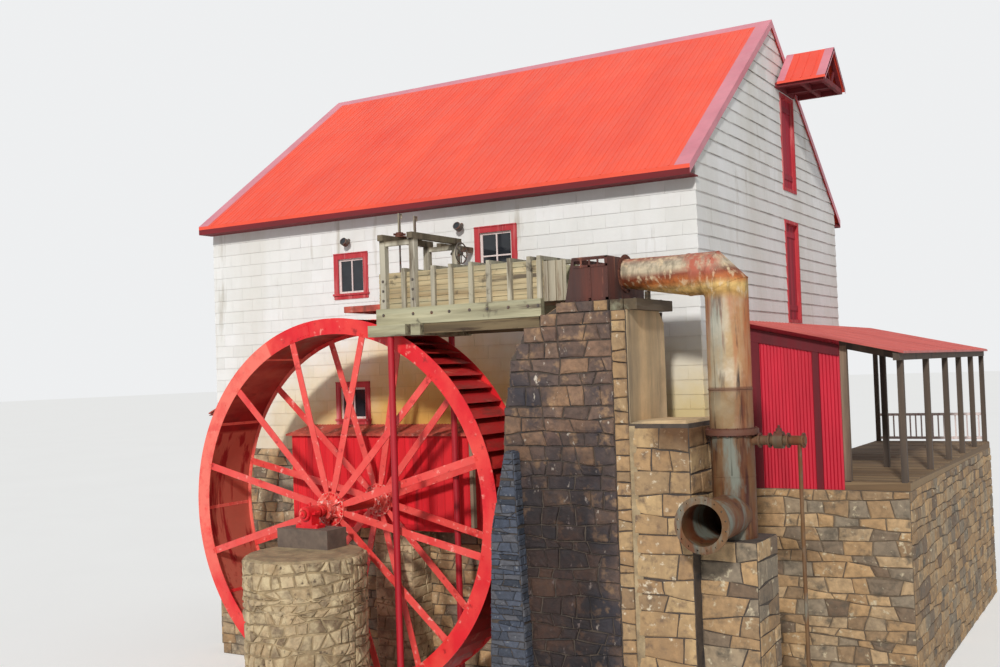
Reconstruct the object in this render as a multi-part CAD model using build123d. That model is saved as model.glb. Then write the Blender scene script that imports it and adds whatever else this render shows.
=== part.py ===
import os
from math import atan, cos, degrees, radians, sin

from build123d import *

os.makedirs("parts", exist_ok=True)

# Watermill with an overshot wheel, millimetres, +Z up.
# X runs along the long wall beside the wheel, Y runs from the wheel into the building.
# While the pieces are built, X = 0 and Y = 0 are at the axle, in the front face of the wheel.
# The last step moves everything so that the origin is under the middle of the whole object.

# Wheel
wheel_radius = 3658
axle_height = 3900
wheel_width = 1250
ring_thickness = 12
ring_depth = 308
sole_gap = 80
sole_thickness = 6
bucket_count = 72
bucket_first_angle = 17.7
bucket_sweep = 6.2
bucket_depth = 84
bucket_thickness = 5
bucket_lip_inset = 13
spoke_count = 12
spoke_first_angle = 17.0
spoke_width = 100
spoke_thickness = 20
spoke_inner_radius = 200
spoke_bend_gap = 10
spoke_dish = 140
hub_flange_radius = 330
hub_flange_thickness = 25
hub_boss_radius = 185
hub_boss_reach = 350
hub_inner_reach = 200
hub_rib_count = 6
hub_rib_thickness = 20
shaft_radius = 125
collar_radius = 165
collar_length = 70
journal_radius = 75
journal_front = -950
journal_back_gap = 200
running_clearance = 0.08

# Bearings and what carries them
bearing_height = 270
housing_radius = 125
housing_front = -900
housing_length = 340
housing_back_gap = 600
housing_foot_width = 520
housing_foot_height = 60
bearing_block_left = -580
bearing_block_right = 620
bearing_block_front = -1000
bearing_block_back = -450
bearing_block_height = 350
bearing_pier_radius = 1125
bearing_pier_x = 340
bearing_pier_y = -1295
inner_pier_half = 500
inner_pier_depth = 700

# Mill building
wall_gap = 1250
mill_depth = 9900
wall_left = -5550
wall_right = 6600
wall_thickness = 160
stone_thickness = 550
stone_height = 4820
floor_thickness = 220
lower_storey = 2480
upper_storey = 2880
eave_below_attic = 130
roof_rise = 3960
eave_overhang = 400
rake_overhang = 60
roof_thickness = 60
fascia_drop = 190
fascia_thickness = 25
trim_sheet = 4
trim_width = 300
trim_drop = 170
cap_width = 260

# Windows: middle along X, height of the sill above its floor, width and height of the opening
upper_windows = ((-1415, 940, 690, 760), (2310, 990, 750, 960))
lower_window_x = -1455
lower_window_width = 690
lower_window_height = 680
casing_width = 125
casing_proud = 30
sash_width = 45
sash_bar = 30
sash_thickness = 45
sash_inset = 25
glass_thickness = 6

# Loading doors in the right gable
door_offset = 1030
door_width = 880
door_step = 60
lower_door_height = 2190
upper_door_step = 180
upper_door_height = 2070
door_trim = 70
door_thickness = 45
door_inset = 60

# Hoist hood above the loading doors
hood_above_door = 220
hood_rise = 790
hood_half_width = 880
hood_reach = 1150
hood_thickness = 40
hood_start = 12
hood_beam = 80
hood_beam_depth = 110
hood_margin = 60

# Porch along the right gable
porch_setback = 2400
porch_extension = 3700
porch_reach = 3050
porch_below_floor = 30
porch_fall = 720
porch_roof_thickness = 40
porch_step = 770
porch_deck_thickness = 150
porch_stone_thickness = 300
porch_stone_margin = 50
post_size = 115
post_inset = 150
first_post_inset = 400
last_post_inset = 200
post_shares = (0, 0.245, 0.462, 0.642, 0.821, 1)
middle_post_reach = 1950
screen_offset = 305
screen_thickness = 25
screen_length = 1785
header_width = 120
header_depth = 150
rail_height = 800
rail_size = 70
baluster_count = 18
baluster_size = 36

# Lean-to in front of the long wall, behind the wheel
lean_left = -2580
lean_right = 1950
lean_depth = 750
lean_board = 25
lean_drop = 1410
lean_rise = 510
lean_fall = 140
lean_overhang = 100
lean_roof_thickness = 30
shaft_hole_radius = 115
lean_beam = 160
lean_rim = 45

# Small lean-to on the left gable
side_width = 750
side_setback = 700
side_length = 2400
side_board = 25
side_drop = 520
side_rise = 1180
side_fall = 400
side_overhang = 120
side_eave = 150
side_roof_thickness = 30
side_stone_thickness = 300

# Flume of timber
wheel_to_flume = 42
flume_left = 1250
flume_over_pier = 890
channel_gap = 30
floor_board = 50
side_board_thickness = 40
channel_depth = 720
sill_width = 130
sill_depth = 255
bearer_depth = 210
stringer_depth = 185
stringer_left = 2300
stringer_end_gap = 50
cap_left = 2080
cap_right = 2290
cap_overhang = 80
bolster_left = 1140
bolster_right = 1990
bolster_width = 180
far_bolster_left = 1500
stile_width = 90
stile_depth = 70
stile_shares = (0.169, 0.357, 0.466, 0.589, 0.694, 0.817, 0.929, 0.986)
tie_width = 70
tie_height = 70

# Gate frame over the flume
gate_post_places = (1420, 2090)
gate_post_size = 120
gate_post_rise = 600
gate_beam_height = 110
gate_beam_overhang = 60
rail_beam_height = 90
rail_beam_width = 80
rail_beam_drop = 15
wall_tie_x = 1720
wall_tie_size = 100
wall_tie_drop = 50

# Sluice gate: lifts out of the channel between guide strips
gate_thickness = 50
gate_height = 560
gate_clearance = 6
gate_seat = 0.5
guide_size = 40
stem_radius = 18
stem_hole_radius = 30
stem_rise = 580
stem_insets = (450, 350)
hook_reach = 70

# Hand wheel on the far gate post
hand_wheel_radius = 200
hand_wheel_tube = 13
hand_wheel_rim_sides = 8
hand_wheel_drop = 180
hand_wheel_gap = 60
hand_wheel_shaft = 16
hand_wheel_spokes = 6
hand_wheel_spoke_width = 22
hand_wheel_spoke_thickness = 12
hand_wheel_hub = 34

# Metal lip that spills onto the wheel
lip_left = 350
lip_sheet = 8
lip_side_height = 110

# Pipe posts under the flume
post_pipe_radius = 62
near_post_x = 1595
near_post_gap = 200
far_post_x = 1850
far_post_gap = 200

# Metal trough and steel box at the head of the flume
trough_length = 440
trough_sheet = 8
trough_rib = 30
trough_rib_places = (70, 220, 350)
box_length = 810
box_lean = 150
box_margin = 70
box_sheet = 10
box_bed = 50
box_below_channel = 30
box_sill = 90
rim_slot_count = 4
rim_slot_length = 120
rim_slot_gap = 34
rim_slot_drop = 135
rim_depth = 55

# Stone pier under the steel box: points of its stepped left side, as distance from its foot and
# depth below its top
pier_front = -150
pier_back = 1425
pier_beyond_box = 310
wheel_to_pier = 202
pier_profile = (
    (40, 3150),
    (70, 2420),
    (120, 1750),
    (220, 1400),
    (260, 940),
    (470, 660),
    (590, 390),
    (850, 390),
    (860, 270),
    (1190, 80),
    (1300, 0),
)
pier_shelf = 180
pier_back_chamfer = 200
cap_timber_setback = 20
cap_timber_span = 480
cap_timber_gap = 20
chock_half = 30
lower_block_length = 1020
lower_block_drop = 2050
lower_block_back = 1200
footing_margin = 150
buttress_front = -400
buttress_profile = ((-240, 0), (-93, 3660), (221, 5030), (371, 5030), (560, 0))

# Supply pipe
pipe_radius = 350
pipe_wall = 10
pipe_small_radius = 250
elbow_corner = 245
cone_length = 1160
cone_step = 4
collar_proud = 6
collar_half = 14
pipe_below_box = 20
riser_gap = 10
flange_thickness = 45
flange_extra = 80
flange_below_block = 170
stub_height = 4020
stub_radius = 330
stub_foot = 390
stub_end = -900
stub_flange_radius = 435
stub_flange_thickness = 40
bolt_circle_radius = 385
bolt_hole_radius = 14
bolt_count = 16

# Branch pipe with its valve and post
branch_radius = 75
branch_drop = 140
branch_length = 840
branch_post_inset = 100
branch_post_radius = 32
branch_flange_extra = 45
branch_flange_half = 12
valve_radius = 130
valve_length = 150

# Floodlights on the long wall, above each upper window
lamp_places = ((-1460, 2050), (1500, 2110))
lamp_radius = 85
lamp_depth = 110
lamp_arm = 90
lamp_arm_radius = 18

# Sizes that follow from the ones above: wheel and bearings
ring_inner = wheel_radius - ring_depth
sole_inner = ring_inner + sole_gap
sole_outer = sole_inner + sole_thickness
spoke_outer_radius = sole_inner - 15
bearing_block_top = axle_height - bearing_height
bearing_pier_top = bearing_block_top - bearing_block_height

# Mill building
wall_front = wheel_width + wall_gap
wall_back = wall_front + mill_depth
first_floor = stone_height
upper_floor = first_floor + lower_storey
attic_floor = upper_floor + upper_storey
eave_height = attic_floor - eave_below_attic
ridge_height = eave_height + roof_rise
ridge_y = (wall_front + wall_back) / 2
eave_front = wall_front - eave_overhang
eave_back = wall_back + eave_overhang
roof_slope = (ridge_height - eave_height) / (ridge_y - eave_front)
roof_drop = roof_thickness * (1 + roof_slope**2) ** 0.5
rake_left = wall_left - rake_overhang
rake_right = wall_right + rake_overhang
journal_back = wall_front - journal_back_gap
housing_back_start = wall_front - housing_back_gap
inner_pier_front = wall_front - inner_pier_depth

# Doors and hood
door_middle = ridge_y + door_offset
lower_door_sill = upper_floor + door_step
lower_door_head = lower_door_sill + lower_door_height
upper_door_sill = attic_floor + upper_door_step
upper_door_head = upper_door_sill + upper_door_height
hood_eave = upper_door_head + hood_above_door
hood_ridge = hood_eave + hood_rise

# Porch
porch_front = wall_front + porch_setback
porch_back = wall_back + porch_extension
porch_wall_height = upper_floor - porch_below_floor
porch_eave_height = porch_wall_height - porch_fall
porch_floor = first_floor - porch_step
porch_slope = (porch_wall_height - porch_eave_height) / porch_reach
porch_right = wall_right + porch_reach
post_x = porch_right - post_inset
first_post_y = porch_front + first_post_inset
post_span = porch_back - last_post_inset - first_post_y
post_places = [first_post_y + share * post_span for share in post_shares]
porch_stone_top = porch_floor - porch_deck_thickness
porch_stone_right = porch_right - porch_stone_margin
porch_stone_back = porch_back - 2 * porch_stone_margin
screen_front = porch_front + screen_offset
screen_right = wall_right + screen_length
header_front = screen_front + screen_thickness + 10
porch_stone_front = screen_front - porch_stone_margin

# Lean-tos and the window above the larger one
lean_front = wall_front - lean_depth
lean_bottom = first_floor - lean_drop
lean_back_height = first_floor + lean_rise
lean_front_height = lean_back_height - lean_fall
lower_window_sill = lean_back_height + lean_roof_thickness + casing_width + 5
side_left = wall_left - side_width
side_front = wall_front + side_setback
side_back = side_front + side_length
side_stone_height = first_floor - side_drop
side_high = first_floor + side_rise
side_low = side_high - side_fall
side_roof_left = side_left - side_eave

# Windows as middle, sill, width and height
window_holes = [(x, upper_floor + sill, width, height) for x, sill, width, height in upper_windows]
window_holes.append(
    (lower_window_x, lower_window_sill, lower_window_width, lower_window_height)
)

# Flume, gate frame, posts
pier_foot_left = wheel_radius + wheel_to_pier
flume_right = pier_foot_left + flume_over_pier
stringer_right = flume_right - stringer_end_gap
stile_places = [flume_left + share * (flume_right - flume_left) for share in stile_shares]
channel_floor = axle_height + wheel_radius + wheel_to_flume
channel_base = channel_floor + floor_board
channel_top = channel_floor + channel_depth
channel_front = -channel_gap
channel_back = wheel_width + channel_gap
sill_bottom = channel_floor - sill_depth
bearer_bottom = sill_bottom - bearer_depth
stringer_bottom = sill_bottom - stringer_depth
near_sill_front = channel_front - sill_width
far_sill_back = channel_back + sill_width
cap_front = near_sill_front - cap_overhang
cap_back = far_sill_back + cap_overhang
near_post_y = -near_post_gap
far_post_y = wheel_width + far_post_gap
gate_post_top = channel_top + gate_post_rise
stem_top = gate_post_top + stem_rise
stem_places = (channel_front + stem_insets[0], channel_back - stem_insets[1])
wall_tie_bottom = gate_post_top - wall_tie_drop
hand_wheel_height = gate_post_top - hand_wheel_drop

# Trough, box, pier, pipe
pier_top = channel_floor - box_bed
box_left_bottom = flume_right + trough_length
box_left_top = box_left_bottom + box_lean
box_right = box_left_bottom + box_length
box_front = channel_front - box_margin
box_back = channel_back + box_margin
box_top = channel_top - box_below_channel
shelf_height = pier_top - pier_shelf
pier_right = box_right + pier_beyond_box
cap_timber_left = box_right + cap_timber_setback
cap_timber_right = cap_timber_left + cap_timber_span
lower_block_height = pier_top - lower_block_drop
lower_block_right = pier_right + lower_block_length
pipe_y = wheel_width / 2
pipe_top = box_top - pipe_below_box
pipe_axis = pipe_top - pipe_radius
small_axis = pipe_top - pipe_small_radius
collar_x = box_right + cone_length
cone_tilt = atan((small_axis - pipe_axis) / cone_length)
cone_axis_length = cone_length / cos(cone_tilt)
riser_x = lower_block_right + riser_gap + flange_extra + pipe_radius
riser_flange_height = lower_block_height - flange_below_block
footing_top = stub_height - stub_foot
branch_height = riser_flange_height - branch_drop
branch_end = riser_x + pipe_radius + branch_length
branch_post_x = branch_end - branch_post_inset
valve_x = riser_x + pipe_radius + branch_length / 2

# The whole object
object_left = side_roof_left
object_right = porch_right
object_front = bearing_pier_y - bearing_pier_radius
object_back = porch_back
middle_x = (object_left + object_right) / 2
middle_y = (object_front + object_back) / 2


def block(x0, x1, y0, y1, z0, z1):
    size = Box(x1 - x0, y1 - y0, z1 - z0)
    return Pos((x0 + x1) / 2, (y0 + y1) / 2, (z0 + z1) / 2) * size


def along_x(points, x0, x1):
    """Outline of (y, z) points, drawn out from x0 to x1."""
    face = make_face(Polyline(*[(x0, y, z) for y, z in points], close=True))
    return extrude(face, amount=x1 - x0, dir=(1, 0, 0))


def along_y(points, y0, y1):
    """Outline of (x, z) points, drawn out from y0 to y1."""
    face = make_face(Polyline(*[(x, y0, z) for x, z in points], close=True))
    return extrude(face, amount=y1 - y0, dir=(0, 1, 0))


def along_z(points, z0, z1):
    """Prism of an (x, y) outline between z0 and z1."""
    return Pos(0, 0, z0) * extrude(make_face(Polyline(*points, close=True)), z1 - z0)


def rod_y(x, z, radius, y0, y1):
    return Pos(x, (y0 + y1) / 2, z) * Rot(90, 0, 0) * Cylinder(radius, y1 - y0)


def rod_x(y, z, radius, x0, x1):
    return Pos((x0 + x1) / 2, y, z) * Rot(0, 90, 0) * Cylinder(radius, x1 - x0)


def rod_z(x, y, radius, z0, z1):
    return Pos(x, y, (z0 + z1) / 2) * Cylinder(radius, z1 - z0)


def ring_y(outer, inner, y0, y1):
    return rod_y(0, axle_height, outer, y0, y1) - rod_y(0, axle_height, inner, y0 - 1, y1 + 1)


def save(name, *solids):
    """Write the solids of one piece, moved to the origin of the whole object."""
    shape = Compound(children=[s for item in solids for s in item.solids()])
    export_step(Pos(-middle_x, -middle_y, 0) * shape, f"parts/{name}.step")


def roof_under(y):
    """Height of the underside of the main roof."""
    reach = y - eave_front if y <= ridge_y else eave_back - y
    return eave_height + roof_slope * reach - roof_drop


def cone_underside(x):
    """Lowest height at x of the leaning cone of the supply pipe."""
    big = pipe_radius - cone_step
    x0 = box_right - pipe_small_radius * sin(cone_tilt)
    x1 = collar_x - big * sin(cone_tilt)
    z0 = small_axis - pipe_small_radius * cos(cone_tilt)
    z1 = pipe_axis - big * cos(cone_tilt)
    return z0 + (z1 - z0) * (x - x0) / (x1 - x0)


def porch_under(x):
    """Height of the underside of the porch roof."""
    drop = porch_roof_thickness * (1 + porch_slope**2) ** 0.5
    return porch_wall_height - porch_slope * (x - wall_right) - drop


# Stone walls below the boarded storeys, with the stone base of the left lean-to
outer = block(wall_left, wall_right, wall_front, wall_back, 0, first_floor)
inner = block(
    wall_left + stone_thickness,
    wall_right - stone_thickness,
    wall_front + stone_thickness,
    wall_back - stone_thickness,
    -1,
    first_floor + 1,
)
side_base = block(side_left, wall_left, side_front, side_back, 0, side_stone_height)
side_base -= block(
    side_left + side_stone_thickness,
    wall_left,
    side_front + side_stone_thickness,
    side_back - side_stone_thickness,
    -1,
    side_stone_height + 1,
)
save("foundation", outer - inner + side_base)


# Long walls with their window holes
def long_wall(y_outer, y_inner):
    low = min(y_outer, y_inner)
    high = max(y_outer, y_inner)
    top_low = roof_under(low)
    top_high = roof_under(high)
    outline = ((low, first_floor), (high, first_floor), (high, top_high), (low, top_low))
    wall = along_x(outline, wall_left, wall_right)
    for middle, sill, width, height in window_holes:
        wall -= block(middle - width / 2, middle + width / 2, low - 1, high + 1, sill, sill + height)
    return wall


save("front_wall", long_wall(wall_front, wall_front + wall_thickness))
save("back_wall", long_wall(wall_back, wall_back - wall_thickness))


# Gable walls
def gable_wall(x0, x1):
    low = wall_front + wall_thickness
    high = wall_back - wall_thickness
    outline = (
        (low, first_floor),
        (high, first_floor),
        (high, roof_under(high)),
        (ridge_y, roof_under(ridge_y)),
        (low, roof_under(low)),
    )
    return along_x(outline, x0, x1)


door_low = door_middle - door_width / 2
door_high = door_middle + door_width / 2
right_wall = gable_wall(wall_right - wall_thickness, wall_right)
for sill, head in ((upper_door_sill, upper_door_head), (lower_door_sill, lower_door_head)):
    right_wall -= block(
        wall_right - wall_thickness - 1, wall_right + 1, door_low, door_high, sill, head
    )
save("right_wall", right_wall)
save("left_wall", gable_wall(wall_left, wall_left + wall_thickness))

# Floors: on the stone walls, and under the sills of the two loading doors
floor_bottoms = (first_floor, upper_floor - floor_thickness, attic_floor - floor_thickness)
floors = []
for bottom in floor_bottoms:
    floors.append(
        block(
            wall_left + wall_thickness,
            wall_right - wall_thickness,
            wall_front + wall_thickness,
            wall_back - wall_thickness,
            bottom,
            bottom + floor_thickness,
        )
    )
save("floors", *floors)

# Main roof: two slopes joined at the ridge
outline = (
    (eave_front, eave_height),
    (ridge_y, ridge_height),
    (eave_back, eave_height),
    (eave_back, eave_height - roof_drop),
    (ridge_y, ridge_height - roof_drop),
    (eave_front, eave_height - roof_drop),
)
save("roof", along_x(outline, rake_left, rake_right))

# Metal ridge cap and rake flashings, bent from sheet
sheet_drop = trim_sheet * (1 + roof_slope**2) ** 0.5
cap_drop = cap_width * sin(atan(roof_slope))
cap_reach = cap_width * cos(atan(roof_slope))
cap = along_x(
    (
        (ridge_y - cap_reach, ridge_height - cap_drop),
        (ridge_y, ridge_height),
        (ridge_y + cap_reach, ridge_height - cap_drop),
        (ridge_y + cap_reach, ridge_height - cap_drop + sheet_drop),
        (ridge_y, ridge_height + sheet_drop),
        (ridge_y - cap_reach, ridge_height - cap_drop + sheet_drop),
    ),
    rake_left,
    rake_right,
)
flashing_top = (
    (eave_front, eave_height),
    (ridge_y, ridge_height),
    (eave_back, eave_height),
    (eave_back, eave_height + sheet_drop),
    (ridge_y, ridge_height + sheet_drop),
    (eave_front, eave_height + sheet_drop),
)
flashing_side = (
    (eave_front, eave_height + sheet_drop),
    (ridge_y, ridge_height + sheet_drop),
    (eave_back, eave_height + sheet_drop),
    (eave_back, eave_height - trim_drop),
    (ridge_y, ridge_height - trim_drop),
    (eave_front, eave_height - trim_drop),
)
trims = cap
trims += along_x(flashing_top, rake_right - trim_width, rake_right)
trims += along_x(flashing_top, rake_left, rake_left + trim_width)
trims += along_x(flashing_side, rake_right, rake_right + trim_sheet)
trims += along_x(flashing_side, rake_left - trim_sheet, rake_left)
save("roof_trims", trims)


# Fascia and soffit under both eaves
def eave_board(edge, wall, sign):
    bottom = eave_height - fascia_drop
    top = eave_height - roof_drop
    outline = (
        (edge, bottom),
        (wall, bottom),
        (wall, bottom + fascia_thickness),
        (edge + sign * fascia_thickness, bottom + fascia_thickness),
        (edge + sign * fascia_thickness, top),
        (edge, top),
    )
    return along_x(outline, rake_left, rake_right)


save("eave_boards", eave_board(eave_front, wall_front, 1), eave_board(eave_back, wall_back, -1))


# Casings round the windows and doors, sashes and panes
def frame_y(x0, x1, z0, z1, width, y0, y1):
    """Flat frame in a plane across Y, its bars of the given width inside x0 to x1."""
    hole = block(x0 + width, x1 - width, y0 - 1, y1 + 1, z0 + width, z1 - width)
    return block(x0, x1, y0, y1, z0, z1) - hole


casings = []
sashes = []
panes = []
for middle, sill, width, height in window_holes:
    left = middle - width / 2
    right = middle + width / 2
    head = sill + height
    for face, sign in ((wall_front, -1), (wall_back, 1)):
        near = min(face, face + sign * casing_proud)
        far = max(face, face + sign * casing_proud)
        casings.append(
            frame_y(
                left - casing_width,
                right + casing_width,
                sill - casing_width,
                head + casing_width,
                casing_width,
                near,
                far,
            )
        )
        sash_y = face - sign * (sash_inset + sash_thickness / 2)
        low = sash_y - sash_thickness / 2
        high = sash_y + sash_thickness / 2
        sash = frame_y(left, right, sill, head, sash_width, low, high)
        half_bar = sash_bar / 2
        low_end = sill + sash_width
        high_end = head - sash_width
        sash += block(middle - half_bar, middle + half_bar, low, high, low_end, high_end)
        if height > 1.2 * width:
            bar_z = (sill + head) / 2
            sash += block(left, right, low, high, bar_z - half_bar, bar_z + half_bar)
        pane = block(
            left + sash_width,
            right - sash_width,
            sash_y - glass_thickness / 2,
            sash_y + glass_thickness / 2,
            sill + sash_width,
            head - sash_width,
        )
        sashes.append(sash - pane)
        panes.append(pane)

doors = []
for sill, head in ((upper_door_sill, upper_door_head), (lower_door_sill, lower_door_head)):
    trim = block(
        wall_right,
        wall_right + casing_proud,
        door_low - door_trim,
        door_high + door_trim,
        sill - door_trim,
        head + door_trim,
    )
    trim -= block(wall_right - 1, wall_right + casing_proud + 1, door_low, door_high, sill, head)
    casings.append(trim)
    doors.append(
        block(
            wall_right - door_inset - door_thickness,
            wall_right - door_inset,
            door_low,
            door_high,
            sill,
            head,
        )
    )
save("window_and_door_casings", *casings)
save("window_sashes", *sashes)
save("window_glass", *panes)
save("loading_doors", *doors)

# Hoist hood: frame and roof
hood_slope = (hood_ridge - hood_eave) / hood_half_width
hood_drop = hood_thickness * (1 + hood_slope**2) ** 0.5
hood_front_x = wall_right + hood_reach


def hood_outline(low, high, ridge, eave, drop):
    return (
        (low, eave),
        (door_middle, ridge),
        (high, eave),
        (high, eave - drop),
        (door_middle, ridge - drop),
        (low, eave - drop),
    )


hood_low = door_middle - hood_half_width
hood_high = door_middle + hood_half_width
hood_edge = rake_right + trim_sheet + hood_start
save(
    "hood_roof",
    along_x(
        hood_outline(hood_low, hood_high, hood_ridge, hood_eave, hood_drop), hood_edge, hood_front_x
    ),
)
under_eave = hood_eave - hood_drop
beam_top = under_eave + hood_slope * hood_margin
frame_end = hood_front_x - hood_margin
beam_low = beam_top - hood_beam_depth
inner_low = hood_low + hood_margin
inner_high = hood_high - hood_margin
frame = block(wall_right, frame_end, inner_low, inner_low + hood_beam, beam_low, beam_top)
frame += block(hood_edge, frame_end, inner_high - hood_beam, inner_high, beam_low, beam_top)
frame += block(frame_end - hood_beam, frame_end, inner_low, inner_high, beam_low, beam_top)
wall_bar_high = inner_high - 2 * hood_beam - 100
frame += block(wall_right, rake_right - 5, inner_low, wall_bar_high, beam_low, beam_top)
middle_bar = (wall_right + frame_end) / 2
frame += block(middle_bar, middle_bar + hood_beam, inner_low, inner_high, beam_low, beam_top)
hoist_low = door_middle - hood_beam / 2
frame += block(wall_right, frame_end, hoist_low, hoist_low + hood_beam, beam_low, beam_top)
gable_bar = hood_outline(
    inner_low,
    inner_high,
    hood_ridge - hood_drop,
    under_eave + hood_slope * hood_margin,
    hood_beam,
)
frame += along_x(gable_bar, frame_end - hood_beam, frame_end)
for sign in (-1, 1):
    brace = (
        (door_middle + sign * 40, beam_top),
        (door_middle + sign * 110, beam_top),
        (door_middle + sign * 340, beam_top + 300),
        (door_middle + sign * 270, beam_top + 300),
    )
    frame += along_x(brace, frame_end - hood_beam, frame_end - hood_beam + 40)
save("hood_frame", frame)

# Porch: stone base, deck, posts, beams, roof, screen wall and railing
stone = block(
    wall_right, porch_stone_right, porch_stone_front, porch_stone_back, 0, porch_stone_top
)
stone -= block(
    wall_right - 1,
    porch_stone_right - porch_stone_thickness,
    porch_stone_front + porch_stone_thickness,
    wall_back,
    -1,
    porch_stone_top + 1,
)
stone -= block(
    wall_right + porch_stone_thickness,
    porch_stone_right - porch_stone_thickness,
    wall_back - 1,
    porch_stone_back - porch_stone_thickness,
    -1,
    porch_stone_top + 1,
)
save("porch_foundation", stone)
save(
    "porch_deck",
    block(wall_right, porch_stone_right, header_front, porch_stone_back, porch_stone_top, porch_floor),
)
outline = (
    (wall_right, porch_wall_height),
    (porch_right, porch_eave_height),
    (porch_right, porch_under(porch_right)),
    (wall_right, porch_under(wall_right)),
)
porch_roof = along_y(outline, porch_front, porch_back)
save("porch_roof", porch_roof)
plate_top = porch_under(post_x + header_width / 2)
plate_bottom = plate_top - header_depth
plate_left = post_x - header_width / 2
beams = [
    block(
        plate_left,
        post_x + header_width / 2,
        porch_front + 50,
        porch_back - 50,
        plate_bottom,
        plate_top,
    )
]


def header_outline(x0, x1):
    return (
        (x0, porch_under(x0)),
        (x1, porch_under(x1)),
        (x1, porch_under(x1) - header_depth),
        (x0, porch_under(x0) - header_depth),
    )


header_right = plate_left
middle_header = post_places[1] + 350
header_places = (
    header_front,
    middle_header - header_width / 2,
    post_places[-1] - header_width / 2,
)
for place in header_places:
    beams.append(along_y(header_outline(wall_right, header_right), place, place + header_width))
frame = beams[0]
for beam in beams[1:]:
    frame += beam
half_post = post_size / 2
for place in post_places:
    frame += block(
        post_x - half_post,
        post_x + half_post,
        place - half_post,
        place + half_post,
        porch_floor,
        plate_bottom,
    )
inner_posts = (
    (screen_right + half_post + 5, header_front + header_width / 2),
    (wall_right + middle_post_reach, middle_header),
    (wall_right + half_post + 60, post_places[-1]),
)
for x, y in inner_posts:
    top = porch_under(x - half_post) - header_depth
    frame += block(x - half_post, x + half_post, y - half_post, y + half_post, porch_floor, top)
save("porch_frame", frame)
screen = along_y(
    (
        (wall_right, porch_stone_top),
        (screen_right, porch_stone_top),
        (screen_right, porch_under(screen_right)),
        (wall_right, porch_under(wall_right)),
    ),
    screen_front,
    screen_front + screen_thickness,
)
save("porch_screen_wall", screen)
rail_left = wall_right + 60 + post_size
rail_right = post_x - half_post
rail_y = post_places[-1]
railing = block(
    rail_left,
    rail_right,
    rail_y - rail_size / 2,
    rail_y + rail_size / 2,
    porch_floor + rail_height - rail_size,
    porch_floor + rail_height,
)
railing += block(
    rail_left,
    rail_right,
    rail_y - rail_size / 2,
    rail_y + rail_size / 2,
    porch_floor + 80,
    porch_floor + 80 + rail_size,
)
for i in range(baluster_count):
    x = rail_left + (i + 0.5) * (rail_right - rail_left) / baluster_count
    railing += block(
        x - baluster_size / 2,
        x + baluster_size / 2,
        rail_y - baluster_size / 2,
        rail_y + baluster_size / 2,
        porch_floor + 80 + rail_size,
        porch_floor + rail_height - rail_size,
    )
save("porch_railing", railing)

# Lean-to behind the wheel and the small one on the left gable
lean_slope = (lean_back_height - lean_front_height) / (wall_front - lean_front)


def lean_under(y):
    return lean_front_height + lean_slope * (y - lean_front)


shell = along_x(
    (
        (lean_front, lean_bottom),
        (wall_front, lean_bottom),
        (wall_front, lean_under(wall_front)),
        (lean_front, lean_under(lean_front)),
    ),
    lean_left,
    lean_right,
)
shell -= block(
    lean_left + lean_board,
    lean_right - lean_board,
    lean_front + lean_board,
    wall_front + 1,
    lean_bottom - 1,
    lean_back_height + 1,
)
shell -= rod_y(0, axle_height, shaft_hole_radius, lean_front - 1, lean_front + lean_board + 1)
bearer_places = (lean_left, -1200, 1100, lean_right - lean_beam)
for x in bearer_places:
    shell += block(x, x + lean_beam, lean_front, wall_front, lean_bottom - lean_beam, lean_bottom)
shell += block(
    lean_left, lean_right, lean_front, lean_front + lean_rim, lean_bottom - lean_beam, lean_bottom
)
side_slope = (side_high - side_low) / (wall_left - side_roof_left)
side_walls = along_y(
    (
        (side_left, side_stone_height),
        (wall_left, side_stone_height),
        (wall_left, side_high),
        (side_left, side_low + side_slope * (side_left - side_roof_left)),
    ),
    side_front,
    side_back,
)
side_walls -= block(
    side_left + side_board,
    wall_left + 1,
    side_front + side_board,
    side_back - side_board,
    side_stone_height - 1,
    side_high + 1,
)
save("lean_to_walls", shell, side_walls)
lean_roof = along_x(
    (
        (lean_front - lean_overhang, lean_under(lean_front - lean_overhang)),
        (wall_front, lean_under(wall_front)),
        (wall_front, lean_under(wall_front) + lean_roof_thickness),
        (lean_front - lean_overhang, lean_under(lean_front - lean_overhang) + lean_roof_thickness),
    ),
    lean_left - lean_overhang,
    lean_right + lean_overhang,
)
side_roof = along_y(
    (
        (side_roof_left, side_low),
        (wall_left, side_high),
        (wall_left, side_high + side_roof_thickness),
        (side_roof_left, side_low + side_roof_thickness),
    ),
    side_front - side_overhang,
    side_back + side_overhang,
)
save("lean_to_roofs", lean_roof, side_roof)
# Stone pier, its lower block, the footing of the riser, and the rough buttress
profile = [(pier_foot_left, 0)]
profile += [(pier_foot_left + x, pier_top - depth) for x, depth in pier_profile]
profile += [(box_right, pier_top), (box_right, shelf_height)]
profile += [(pier_right, shelf_height), (pier_right, 0)]
pier = along_y(profile, pier_front, pier_back)
pier -= along_x(
    (
        (pier_back - pier_back_chamfer, shelf_height),
        (pier_back + 1, shelf_height),
        (pier_back + 1, shelf_height - pier_back_chamfer),
    ),
    box_right,
    pier_right + 1,
)
pier += block(
    pier_right, lower_block_right, pier_front, lower_block_back, 0, lower_block_height
)
footing_right = riser_x + pipe_radius + footing_margin
footing_front = pipe_y - pipe_radius - footing_margin
footing_back = pipe_y + pipe_radius + footing_margin
footing_top = stub_height - stub_foot
pier += block(lower_block_right, footing_right, footing_front, footing_back, 0, footing_top)
save("main_pier", pier)

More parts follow.
